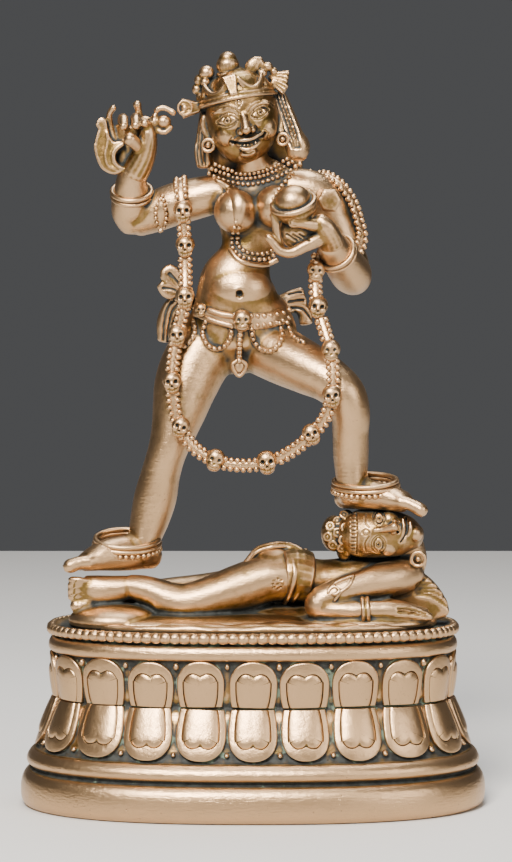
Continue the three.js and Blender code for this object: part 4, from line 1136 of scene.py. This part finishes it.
def makeCrown(look):
    parts = []
    turns = np.linspace(-1.75, 1.75, 45)
    for rise, radius, out in ((-0.55, 0.48, 0.45), (0.35, 0.42, 0.3)):
        parts.append(limb([(*crownPoint(t, rise, out), radius) for t in turns], sides=8, facing=upwards, step=0.7))
    body = [(*crownPoint(t, 0.0, -0.2), 0.75, 1.2) for t in turns]
    parts.append(limb(body, sides=10, facing=upwards, step=0.7))
    for start, end, high in ((-1.62, -0.98, 2.2), (-0.98, -0.2, 2.6), (0.12, 0.86, 2.6), (0.86, 1.55, 2.2)):
        rim = []
        for t in np.linspace(start, end, 17):
            share = (t - start) / (end - start)
            rise = 1.1 + high * (1 - math.sin(math.pi * share) ** 0.8)
            rim.append((*crownPoint(t, rise, 0.2 - 0.1 * rise), 0.5))
            below = (*crownPoint(t, rise - 1.0, 0.1 - 0.08 * rise), 0.5)
            parts.append(limb([rim[-1], below], sides=8, step=0.6))
        parts.append(limb(rim, sides=10, facing=towardsViewer, step=0.5))
    fanBase, fanTop = Vector(crownPoint(-0.08, 0.2, 0.3)), Vector(crownPoint(-0.12, 4.2, -0.4))
    parts += makeFan(fanBase, fanTop, 0.9, 1.7, 0.6, 5, (-0.02, -1, 0.1))
    parts.append(limb(look["knob"], sides=20, step=0.5, tip=0.8))
    for x, y, z, radius, thick in look["knobRings"]:
        parts.append(ringRound((x, y, z), radius, (0, 0, 1), thick))
    for centre, halves in look["leftCluster"] + look["rightKnobs"]:
        parts.append(ball(centre, halves))
    parts.append(limb(look["rightLeaf"], sides=12, step=0.6, tip=0.8))
    parts += makeFan((4.0, -2.2, 159.6), (7.4, -2.6, 158.9), 0.9, 2.1, 0.7, 4)
    parts += makeFan((4.2, -2.6, 158.4), (7.0, -2.8, 156.6), 0.8, 1.5, 0.6, 3)
    parts += makeFan((-11.8, -1.2, 152.9), (-15.4, -1.6, 152.6), 1.2, 2.3, 0.75, 5)
    parts.append(ringRound((-14.9, -2.2, 152.7), 1.5, (0, 1, 0), 0.32, sides=8))
    parts.append(ball((-14.9, -2.2, 152.7), (0.6, 0.5, 0.6), segments=12, rows=8))
    return welded(parts, "crown", 0.19, rounds=2)


hairPiece = makeHair(hair)
crownPiece = makeCrown(crown)
print("hair and crown modelled", len(hairPiece.data.polygons), len(crownPiece.data.polygons))


# Ground plate, set inside the beaded rim
groundPlate = {
    "profile": [(39.9, 39.4), (40.35, 39.55), (40.6, 39.95), (40.55, 40.4), (40.2, 40.75), (39.7, 40.85), (39.35, 40.7),
                (39.1, 40.5), (38.8, 40.55), (38.5, 40.85), (38.1, 41.1), (37.4, 41.25), (36.4, 41.25)],
}


def makeGroundPlate(look):
    rows = smoothLine([(half, height, 0) for half, height in look["profile"]], 0.25)[:, :2]
    obj = ringOf([tuple(row) for row in rows], 360, "ground_plate", True)
    places = spots(obj)
    high = places[:, 2] > 40.3
    sway = 0.16 * np.sin(places[:, 0] * 0.31) + 0.1 * np.sin(places[:, 0] * 0.83 + places[:, 1])
    places[:, 2] += np.where(high, sway, 0)
    moveTo(obj, places)
    return obj


groundPiece = makeGroundPlate(groundPlate)


# Jewellery: bead rows and worn bars laid on the skin
jewels = {
    "collars": [
        ([(-9.6, 138.4), (-7.6, 137.6), (-4.2, 136.5), (-1.5, 136.1), (3.1, 136.9), (7.1, 138.6), (10.2, 140.4)], 0.52),
        ([(-9.0, 139.4), (-7.0, 138.6), (-2.7, 137.4), (1.6, 137.8), (5.6, 139.4), (8.6, 140.9)], 0.46),
        ([(-8.2, 140.3), (-6.2, 139.5), (-2.7, 138.4), (1.6, 138.8), (4.9, 140.1), (7.4, 141.5)], 0.46),
    ],
    "necklace": [
        ([(10.2, 140.4), (7.7, 137.4), (5.7, 134.9), (4.3, 132.1), (4.1, 129.1)], 0.55),
        ([(-3.7, 127.6), (-4.5, 124.6), (-4.5, 122.5), (-2.8, 120.5), (0.4, 119.7), (3.4, 119.9), (5.4, 121.2)], 0.5),
        ([(-2.8, 127.6), (-3.3, 124.8), (-3.3, 123.0), (-1.9, 121.5), (0.8, 120.9), (3.4, 121.2), (4.8, 122.4)], 0.5),
    ],
    "necklaceBand": [(-4.9, 121.8), (-3.3, 119.7), (-0.4, 118.6), (2.6, 118.5), (5.2, 119.6)],
    "strap": [(-8.0, 137.0, 0.6, 0.5), (-5.9, 135.7, 0.9, 0.6), (-3.9, 133.8, 1.4, 0.7), (-2.9, 131.4, 1.7, 0.7),
              (-2.9, 129.2, 1.4, 0.6), (-3.3, 127.4, 0.9, 0.5)],
    "beltBars": [
        [(-9.6, 108.6), (-7.2, 107.8), (-4.4, 107.3)], [(-10.2, 106.9), (-7.4, 105.9), (-4.6, 105.2)],
    ],
    "beltBeads": [
        ([(-0.4, 107.3), (2.4, 107.3), (4.8, 107.6), (6.6, 108.0), (8.0, 108.6)], 0.62),
        ([(-0.4, 105.3), (2.2, 105.3), (4.6, 105.7), (6.4, 106.2), (7.8, 106.9)], 0.62),
        ([(-14.4, 109.8), (-12.8, 109.2)], 0.55),
    ],
    "belt": [(-13.4, 109.4), (-11, 108.5), (-8.6, 107.5), (-5.8, 106.8), (-2.4, 106.3), (1.6, 106.3), (4.6, 106.7),
             (7.4, 107.6)],
    "beltBoss": [(-11.4, 108.5, 1.45), (-2.3, 106.2, 2.15)],
    "swags": [
        [(-10.4, 106.0), (-11.0, 103.6), (-10.2, 101.3), (-8.4, 100.1), (-6.4, 100.6), (-5.0, 102.6), (-4.6, 105)],
        [(-0.3, 104.5), (0.1, 102.1), (1.6, 100.2), (3.8, 99.7), (5.7, 101.1), (6.4, 103.4), (5.8, 105.7)],
        [(7.5, 105.8), (8.4, 103.6), (9.6, 102.2), (11.0, 101.6)],
        [(-13.0, 106.2), (-12.8, 103.8), (-13.6, 101.8), (-15.0, 100.6)],
    ],
    "pendant": [(-2.7, 104.2), (-2.9, 101.8), (-3.0, 99.4), (-3.0, 97.6)],
    "pendantLeaf": [(-3.0, 97.9), (-4.5, 96.6), (-4.2, 95.5), (-3.0, 94.2), (-1.8, 95.5), (-1.5, 96.6), (-3.0, 97.9)],
    "beadPitch": 2.15,
}


def beadsOn(skin, points, radius, pitchShare, chance, lift=0, fallback=-4):
    pitch = radius * pitchShare
    places = []
    line = smoothLine([(x, z, 0) for x, z in points], pitch)
    for x, z, _ in line:
        size = chance.uniform(0.88, 1.1)
        spot = skin.front(x, z, lift + radius * 0.25, fallback)
        if spot.y != fallback:
            places.append(Matrix.Translation(spot) @ Matrix.Diagonal((size, 1, size, 1)))
    return copiesOf(bead(radius, 0.95), places, "laid_beads")


def ribbonOn(skin, stations, lift=0, sides=10, step=0.7):    # a flat band laid on the front: x, z, half width, thick
    rows = smoothLine([(x, z, 0, half, thick) for x, z, half, thick in stations], step)
    laid = [(*skin.front(x, z, lift, 99), half, thick) for x, z, _, half, thick in rows]
    return limb([row for row in laid if row[1] < 90], sides=sides, step=step, tip=0.5)


def makeJewellery(look, body):
    skin = Skin(body)
    chance = random.Random(21)
    pitch = look["beadPitch"]
    beads = []
    bars = []
    for row, radius in look["collars"] + look["necklace"] + look["beltBeads"]:
        beads.append(beadsOn(skin, row, radius, pitch, chance, 0.15 if row in look["beltBeads"] else 0.05))
    bars.append(strandOn(skin, look["necklaceBand"], 0.62, 0.1))
    bars.append(ribbonOn(skin, look["strap"], 0.1))
    bars.append(ribbonOn(skin, [(x, z, 1.9, 0.5) for x, z in look["belt"]], -0.1, step=0.9))
    for bar in look["beltBars"]:
        bars.append(strandOn(skin, bar, 0.66, 0.3))
    for row in look["swags"]:
        beads.append(beadsOn(skin, row, 0.56, pitch, chance, 0.3))
        bars.append(ribbonOn(skin, [(x, z, 0.62, 0.34) for x, z in row], 0.05, step=0.8))
    pendantPlace = [(*skin.front(x, z, 0.5, -4.5), 0.5) for x, z in look["pendant"]]
    bars.append(limb(pendantPlace, sides=8, step=0.6))
    line = smoothLine([place[:3] for place in pendantPlace], 1.1)
    beads.append(copiesOf(bead(0.72, 0.9), [Matrix.Translation((x, y - 0.1, z)) for x, y, z in line], "pendant_beads"))
    leaf = [(x, -4.6, z, 0.42) for x, z in look["pendantLeaf"]]
    bars.append(limb(leaf, sides=8, step=0.5, tip=0.8))
    bars.append(ball((-3.0, -4.2, 96.3), (1.2, 0.5, 1.5)))
    bars.append(ball((-3.0, -4.8, 97.5), (0.6, 0.5, 0.6)))
    for x, z, radius in look["beltBoss"]:
        place = skin.front(x, z, 0.9)
        boss = makeSeveredHead(True)
        boss.matrix_world = Matrix.Translation(place) @ Matrix.Scale(radius / 2.2, 4)
        bars.append(settle(boss))
    return merged(beads + bars, "jewellery")


# Bangles, anklets, armlet and earrings
rings = {
    "rightBracelet": {"at": (-26.7, 2.5, 134.3), "way": (0.0, -0.55, 0.9), "radius": 4.35, "rows": [(-0.7, 0.5), (0.5, 0.55)]},
    "leftBracelet": {"at": (18.3, -5.3, 120.9), "way": (-0.42, -0.75, 0.52), "radius": 4.2, "rows": [(-0.6, 0.5), (0.6, 0.5)]},
}
anklets = {
    "right": {"at": (-27.7, -2.6, 57.2), "way": (0.05, -0.34, 1), "halves": (7.2, 5.3), "band": 0.55, "beads": 34},
    "left": {"at": (24.6, -6.2, 70.2), "way": (-0.08, -0.26, 1), "halves": (7.2, 4.9), "band": 0.5, "beads": 34},
}


def ovalRing(at, way, halves, wide, tall, rise=0, columns=36):
    turn = Vector(way).normalized().to_track_quat("Z", "Y").to_matrix()
    middle = Vector(at) + turn @ Vector((0, 0, rise))
    points = []
    for t in np.linspace(0, 2 * math.pi, columns + 1):
        points.append((*(middle + turn @ Vector((halves[0] * math.cos(t), halves[1] * math.sin(t), 0))), tall, wide))
    return limb(points, sides=10, facing=way, step=0.9, tip=0.2)


def makeRings():
    parts = []
    for ring in rings.values():
        way = Vector(ring["way"]).normalized()
        for shift, thick in ring["rows"]:
            parts.append(ringRound(Vector(ring["at"]) + way * shift, ring["radius"], way, thick))
    chance = random.Random(3)
    for anklet in anklets.values():
        at, way = Vector(anklet["at"]), Vector(anklet["way"]).normalized()
        parts.append(ovalRing(at, way, anklet["halves"], anklet["band"], 0.55, 0.2))
        parts.append(ovalRing(at, way, [half * 0.97 for half in anklet["halves"]], anklet["band"], 0.55, 1.25))
        turn = way.to_track_quat("Z", "Y").to_matrix()
        places = []
        for i in range(anklet["beads"]):
            t = 2 * math.pi * i / anklet["beads"]
            spot = at + turn @ Vector((anklet["halves"][0] * math.cos(t), anklet["halves"][1] * math.sin(t), -0.85))
            places.append(Matrix.Translation(spot) @ Matrix.Scale(chance.uniform(0.9, 1.1), 4))
        parts.append(copiesOf(bead(0.68, 1), places, "anklet_beads"))
    return merged(parts, "bangles_and_anklets")


armlet = {
    "left": [(-19.9, 133.6), (-21.2, 131.0), (-21.2, 128.0), (-20.2, 125.9)],
    "right": [(-19.9, 133.6), (-19.2, 131.0), (-19.1, 128.2), (-20.0, 125.9)],
    "heart": (-20.1, 129.8),
}
earrings = [(-9.8, -1.6, 144.6, 1.3), (6.5, -2.2, 145.9, 1.2), (36.0, -8.2, 54.4, 1.5)]


def makeArmlet(look, body):
    skin = Skin(body)
    chance = random.Random(5)
    parts = [ribbonOn(skin, [(look["heart"][0], look["heart"][1] + rise, half, 0.4)
                             for rise, half in ((3.9, 0.3), (2, 0.9), (0, 1.2), (-2, 0.9), (-3.9, 0.3))], 0.05)]
    for name in ("left", "right"):
        parts.append(beadsOn(skin, look[name], 0.48, 2.1, chance, 0.2))
    for x, y, z, radius in earrings:
        parts.append(ringRound((x, y, z), radius, (0.2, 1, 0), 0.42, sides=10))
        parts.append(ball((x, y + 0.2, z), (0.6, 0.6, 0.6), segments=12, rows=8))
    return merged(parts, "armlet_and_earrings")


# Sash: the bow and hanging end at her right hip and the end that flies out at her left
sash = {
    "loops": [
        [(-14.2, 3.4, 112.6, 0.9, 0.7), (-16.4, 2.6, 115.2, 1.3, 0.7), (-18.3, 2.6, 117.6, 1.2, 0.7),
         (-19.6, 2.6, 116.8, 1.0, 0.7), (-18.6, 2.6, 114.6, 1.2, 0.7), (-15.4, 3.2, 112.2, 0.9, 0.7)],
        [(-14.2, 3.6, 112.2, 0.9, 0.7), (-17.2, 2.8, 113.2, 1.1, 0.6), (-20.2, 2.6, 114.0, 1.1, 0.6),
         (-19.6, 2.8, 112.6, 1.0, 0.6), (-16.4, 3.2, 111.2, 0.9, 0.6)],
    ],
    "fall": [(-13.4, 4.6, 110.6, 2.0, 2), (-17, 5.4, 109.6, 2.4, 1.7), (-18.9, 5.9, 106.4, 2.4, 1.5),
             (-19.4, 6.1, 101.8, 1.9, 1.2)],
    "fallFolds": [
        [(-15.2, 111), (-17.6, 108.8), (-18.6, 105.2), (-18.9, 101.4)], [(-14.8, 109.8), (-16.6, 108), (-17.8, 104.8), (-18.2, 101.4)],
        [(-16.2, 111.8), (-18.8, 109.6), (-19.8, 105.8), (-20.0, 101.8)],
    ],
    "right": [(5.4, 6.4, 108.8, 2.4, 1.8), (8.6, 6.8, 110.4, 2.6, 1.4), (11.4, 7, 111.2, 2.6, 1.0)],
    "rightFall": [(8.6, 6.8, 110.2, 1.6, 1.2), (11.2, 6.8, 108.4, 1.6, 1.1), (11.8, 6.6, 105.6, 1.5, 1)],
}


def makeSash(look):
    parts = [limb(loop, sides=12, step=0.8) for loop in look["loops"]]
    parts += [limb(look[name], sides=16, step=1, tip=0.4) for name in ("fall", "right", "rightFall")]
    obj = welded(parts, "sash", 0.24, rounds=2)
    skin = Skin(obj)
    lines = [skin.line(row) for row in look["fallFolds"]]
    lines += [skin.line([(8, 112.2), (10, 112.6), (12.6, 112.6)]), skin.line([(8, 110.4), (10.4, 110.8), (13, 110.8)]),
              skin.line([(8.4, 109), (11, 108.8), (12.8, 107)])]
    lines += [skin.line([(-15.6, 113.4), (-17.4, 115.6), (-18.4, 116.6)]), skin.line([(-16, 112.4), (-18, 113.2), (-19.8, 113.4)])]
    incise(obj, lines, 0.5, 0.4)
    return obj


jewelleryPiece = makeJewellery(jewels, goddessBody)
ringsPiece = makeRings()
armletPiece = makeArmlet(armlet, goddessBody)
sashPiece = makeSash(sash)
print("jewellery modelled", len(jewelleryPiece.data.polygons), len(ringsPiece.data.polygons))


# Patina guide: how sunk each point lies among its neighbours, and how much it stands proud
def evened(obj, values, rounds, share=0.5):              # averages values along the edges of the mesh
    count = len(obj.data.vertices)
    ends = np.empty(len(obj.data.edges) * 2, dtype=np.int32)
    obj.data.edges.foreach_get("vertices", ends)
    a, b = ends.reshape(-1, 2).T
    shared = np.maximum(np.bincount(a, minlength=count) + np.bincount(b, minlength=count), 1)
    columns = values.reshape(count, -1).copy()
    for _ in range(rounds):
        for k in range(columns.shape[1]):
            column = columns[:, k]
            total = np.bincount(a, column[b], count) + np.bincount(b, column[a], count)
            columns[:, k] = column * (1 - share) + total / shared * share
    return columns.reshape(values.shape)


def setGuide(obj, name, values):
    layer = obj.data.attributes.new(name, "FLOAT", "POINT")
    layer.data.foreach_set("value", np.ascontiguousarray(values, dtype=np.float32))


def openness(tree, places, normals, reach):              # share of the sky over each point that near metal hides
    hidden = np.zeros(len(places))
    side = np.cross(normals, np.array((0.31, 0.52, 0.79)))
    side /= np.maximum(np.linalg.norm(side, axis=1), 1e-6)[:, None]
    other = np.cross(normals, side)
    ways = [normals]
    for t in (0.3, 1.56, 2.81, 4.07, 5.33):
        ways.append(0.62 * normals + 0.78 * (math.cos(t) * side + math.sin(t) * other))
    starts = places + normals * 0.12
    for way in ways:
        for i, (start, ray) in enumerate(zip(starts.tolist(), way.tolist())):
            distance = tree.ray_cast(start, ray, reach)[3]
            if distance is not None:
                hidden[i] += 1 - distance / reach * 0.6
    return hidden / len(ways)


def guidePatina(objs, reach=3.2):
    corners, faces = [], []
    for obj in objs:
        first = len(corners)
        corners.extend(spots(obj).tolist())
        faces.extend([first + v for v in face.vertices] for face in obj.data.polygons)
    tree = BVHTree.FromPolygons(corners, faces)
    print("patina over", len(corners), "points")
    for obj in objs:
        places, normals = spots(obj), facings(obj)
        hidden = evened(obj, openness(tree, places, normals, reach), 2)
        setGuide(obj, "recess", hidden)
        fine = np.sum((places - evened(obj, places, 4)) * normals, axis=1)
        broad = np.sum((places - evened(obj, places, 24)) * normals, axis=1)
        setGuide(obj, "proud", np.clip(fine * 14 + broad * 4, -1, 1))


# Bronze: shader sums written as plain arithmetic
class Wire:
    def __init__(self, socket):
        self.socket = socket
        self.tree = socket.id_data

    def maths(self, operation, *others):
        node = self.tree.nodes.new("ShaderNodeMath")
        node.operation = operation
        for target, value in zip(node.inputs, (self, *others)):
            feed(target, value)
        return Wire(node.outputs[0])

    def __add__(self, other):
        return self.maths("ADD", other)

    def __sub__(self, other):
        return self.maths("SUBTRACT", other)

    def __mul__(self, other):
        return self.maths("MULTIPLY", other)

    def __rsub__(self, other):
        return self.maths("MULTIPLY", -1).maths("ADD", other)

    def __pow__(self, other):
        return self.maths("MAXIMUM", 0).maths("POWER", other)

    __radd__ = __add__
    __rmul__ = __mul__

    def between(self, low, high):                        # 0 at low, 1 at high, soft at both
        node = self.tree.nodes.new("ShaderNodeMapRange")
        node.interpolation_type = "SMOOTHSTEP"
        feed(node.inputs["Value"], self)
        node.inputs["From Min"].default_value = low
        node.inputs["From Max"].default_value = high
        return Wire(node.outputs[0])

    def blend(self, start, end):                         # this share of the way from one colour to the other
        node = self.tree.nodes.new("ShaderNodeMix")
        node.data_type = "RGBA"
        feed(node.inputs[0], self)
        feed(node.inputs[6], start)
        feed(node.inputs[7], end)
        return Wire(node.outputs[2])


def feed(target, value):
    if isinstance(value, Wire):
        target.id_data.links.new(value.socket, target)
    elif isinstance(value, tuple):
        target.default_value = (*value, 1) if len(value) < len(target.default_value) else value
    else:
        target.default_value = value


class Surface:                                           # one material and its nodes
    def __init__(self, name):
        self.material = bpy.data.materials.new(name)
        self.material.use_nodes = True
        self.tree = self.material.node_tree
        self.shader = self.tree.nodes["Principled BSDF"]
        self.mm = self.node("VectorMath", {"operation": "SCALE"}, self.node("TexCoord", out="Object"), Scale=1000)

    def node(self, kind, settings=None, *values, out=0, **named):
        node = self.tree.nodes.new("ShaderNode" + kind)
        for name, value in (settings or {}).items():
            setattr(node, name, value)
        for i, value in enumerate(values):
            feed(node.inputs[i], value)
        for name, value in named.items():
            feed(node.inputs[name], value)
        return Wire(node.outputs[out])

    def guide(self, name):
        return self.node("Attribute", {"attribute_name": name}, out="Fac")

    def noise(self, scale, detail=3, rough=0.55, stretch=(1, 1, 1), shift=0):
        where = self.node("Mapping", None, self.mm, Scale=stretch, Location=(shift, shift * 0.7, 0))
        return self.node("TexNoise", None, where, Scale=scale, Detail=detail, Roughness=rough)

    def cells(self, scale, feature="F1", shift=0):
        where = self.node("Mapping", None, self.mm, Location=(shift, 0, shift))
        return self.node("TexVoronoi", {"feature": feature}, where, Scale=scale)


bronzes = {
    "body": {"bare": (0.30, 0.175, 0.068), "rubbed": (0.62, 0.40, 0.22), "olive": (0.19, 0.12, 0.036),
             "deep": (0.006, 0.007, 0.006), "dusty": (0.028, 0.032, 0.03), "dark": 0.0, "rough": 0.38},
}
bronzeDefaults = {"rubFrom": 0.05, "rubTo": 0.5, "sunkFrom": 0.14, "sunkTo": 0.5, "pits": 0.35, "strokes": 0.0, "green": 0.0}


def castBronze(name, look):
    look = {**bronzeDefaults, **bronzes["body"], **look}
    bronze = Surface(name)
    sunk, proud = bronze.guide("recess"), bronze.guide("proud")
    clouds = bronze.noise(0.16, 4, 0.6)
    mottle = bronze.noise(0.7, 5, 0.65, shift=9)
    grain = bronze.noise(3.2, 4, 0.7, shift=4)
    sinking = (sunk + (mottle - 0.5) * 0.22 - proud * 0.3 + look["dark"]).between(look["sunkFrom"], look["sunkTo"])
    rubbing = (proud + (mottle - 0.5) * 0.5 - sunk * 0.8).between(look["rubFrom"], look["rubTo"])
    warm = (clouds + (mottle - 0.5) * 0.5).between(0.36, 0.62)
    colour = warm.blend(look["olive"], look["bare"])
    colour = (rubbing * 0.85).blend(colour, look["rubbed"])
    stain = (grain * 0.6 + mottle * 0.4).between(0.55, 0.7) * 0.35
    colour = stain.blend(colour, (0.12, 0.085, 0.04))
    dirt = mottle.between(0.35, 0.65).blend(look["deep"], look["dusty"])
    colour = sinking.blend(colour, dirt)
    if look["green"]:
        spots = (bronze.noise(0.35, 3, 0.6, shift=31) + sunk * 0.5).between(0.78, 0.9) * look["green"]
        colour = spots.blend(colour, (0.2, 0.3, 0.22))
    pitting = (1 - bronze.cells(0.9, shift=3).between(0.0, 0.22)) * bronze.noise(0.5, 2, shift=17).between(0.55, 0.7)
    colour = (pitting * look["pits"] * 1.6).blend(colour, look["deep"])
    feed(bronze.shader.inputs["Base Color"], colour)
    feed(bronze.shader.inputs["Metallic"], 1 - sinking * 0.75)
    rough = look["rough"] + sinking * 0.28 + (grain - 0.5) * 0.16 - rubbing * 0.05 + (mottle - 0.5) * 0.12
    feed(bronze.shader.inputs["Roughness"], rough)
    height = mottle * 0.5 + grain * 0.16 - pitting * look["pits"]
    if look["strokes"]:
        strokes = bronze.noise(1.6, 2, 0.5, stretch=(0.35, 0.35, 1.6), shift=12)
        height = height + strokes * look["strokes"]
    relief = bronze.node("Bump", None, Strength=0.5, Distance=0.0004, Height=height)
    feed(bronze.shader.inputs["Normal"], relief)
    return bronze.material


everything = {
    "lotus_base_mouldings": (mouldings, "lotus_base", {"strokes": 0.4, "rubFrom": 0.12, "pits": 0.6, "green": 0.5}),
    "lotus_petals": (petals, "lotus_base", {"rubFrom": 0.1, "green": 0.25}),
    "goddess_body": (goddessBody, "goddess_and_fallen_figure", {"strokes": 0.25}),
    "goddess_head": (goddessHead, "goddess_and_fallen_figure", {"pits": 0.1, "rough": 0.34}),
    "hands_knife_and_bowl": (handsPiece, "goddess_and_fallen_figure", {"pits": 0.15}),
    "hair": (hairPiece, "goddess_and_fallen_figure", {"dark": 0.22}),
    "crown": (crownPiece, "goddess_and_fallen_figure", {"dark": 0.02}),
    "sash": (sashPiece, "goddess_and_fallen_figure", {"dark": 0.2}),
    "jewellery": (jewelleryPiece, "goddess_and_fallen_figure", {}),
    "bangles_and_anklets": (ringsPiece, "goddess_and_fallen_figure", {}),
    "armlet_and_earrings": (armletPiece, "goddess_and_fallen_figure", {"dark": 0.05}),
    "garland_strands": (garlandStrands, "goddess_and_fallen_figure", {"dark": 0.03}),
    "garland_heads": (garlandHeads, "goddess_and_fallen_figure", {}),
    "fallen_body": (fallenBody, "goddess_and_fallen_figure", {"strokes": 0.25}),
    "fallen_dress": (fallenDressPiece, "goddess_and_fallen_figure", {}),
    "fallen_head": (fallenHeadPiece, "goddess_and_fallen_figure", {"pits": 0.1}),
    "fallen_hair": (fallenHairPiece, "goddess_and_fallen_figure", {"dark": 0.1}),
    "ground_plate": (groundPiece, "goddess_and_fallen_figure", {"dark": 0.03}),
}

guidePatina([row[0] for row in everything.values()])
for name, (obj, node, look) in everything.items():
    obj.name = name
    obj.data.materials.clear()
    obj.data.materials.append(castBronze(name + "_bronze", look))
    obj.scale = (millimetre,) * 3
    settle(obj)
    rounded(obj)
    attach(obj, "root")
    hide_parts(node)
print("bronze and patina on", len(everything), "pieces")


# Floor, backdrop, light and camera
def pale(name, colour, rough):
    surface = Surface(name)
    tone = surface.noise(0.01, 2).blend(colour, tuple(c * 0.96 for c in colour))
    feed(surface.shader.inputs["Base Color"], tone)
    surface.shader.inputs["Roughness"].default_value = rough
    return surface.material


bpy.ops.object.select_all(action="DESELECT")
bpy.ops.mesh.primitive_plane_add(size=1, location=(0, 0, 0))
floor = bpy.context.object
floor.name = "floor"
bpy.ops.object.mode_set(mode="EDIT")
bpy.ops.transform.resize(value=(1.6, 1.2, 1))
bpy.ops.object.mode_set(mode="OBJECT")
floor.data.materials.append(pale("floor_paper", (0.62, 0.61, 0.59), 0.9))

lights = [
    ("key", (-0.18, -0.6, 0.6), 0.26, 17, (1.0, 0.95, 0.88)),
    ("fill", (0.5, -0.5, 0.3), 0.4, 2.5, (1.0, 0.95, 0.9)),
    ("top", (0.05, 0.1, 0.75), 0.35, 5, (0.95, 0.97, 1.0)),
]
for name, place, size, power, tint in lights:
    bpy.ops.object.light_add(type="AREA", location=place)
    lamp = bpy.context.object
    lamp.name = name
    lamp.rotation_euler = (Vector((0, 0, 0.09)) - Vector(place)).to_track_quat("-Z", "Y").to_euler()
    lamp.data.size = size
    lamp.data.energy = power
    lamp.data.color = tint

world = bpy.data.worlds.new("studio")
bpy.context.scene.world = world
world.use_nodes = True
world.node_tree.nodes["Background"].inputs[0].default_value = (0.55, 0.56, 0.58, 1)
world.node_tree.nodes["Background"].inputs[1].default_value = 0.14

bpy.ops.object.camera_add(location=(0.00066, -0.6, 0.1108), rotation=(math.radians(87.247), 0, 0))
camera = bpy.context.object
camera.data.lens = 113.8
camera.data.sensor_width = 36
bpy.context.scene.camera = camera
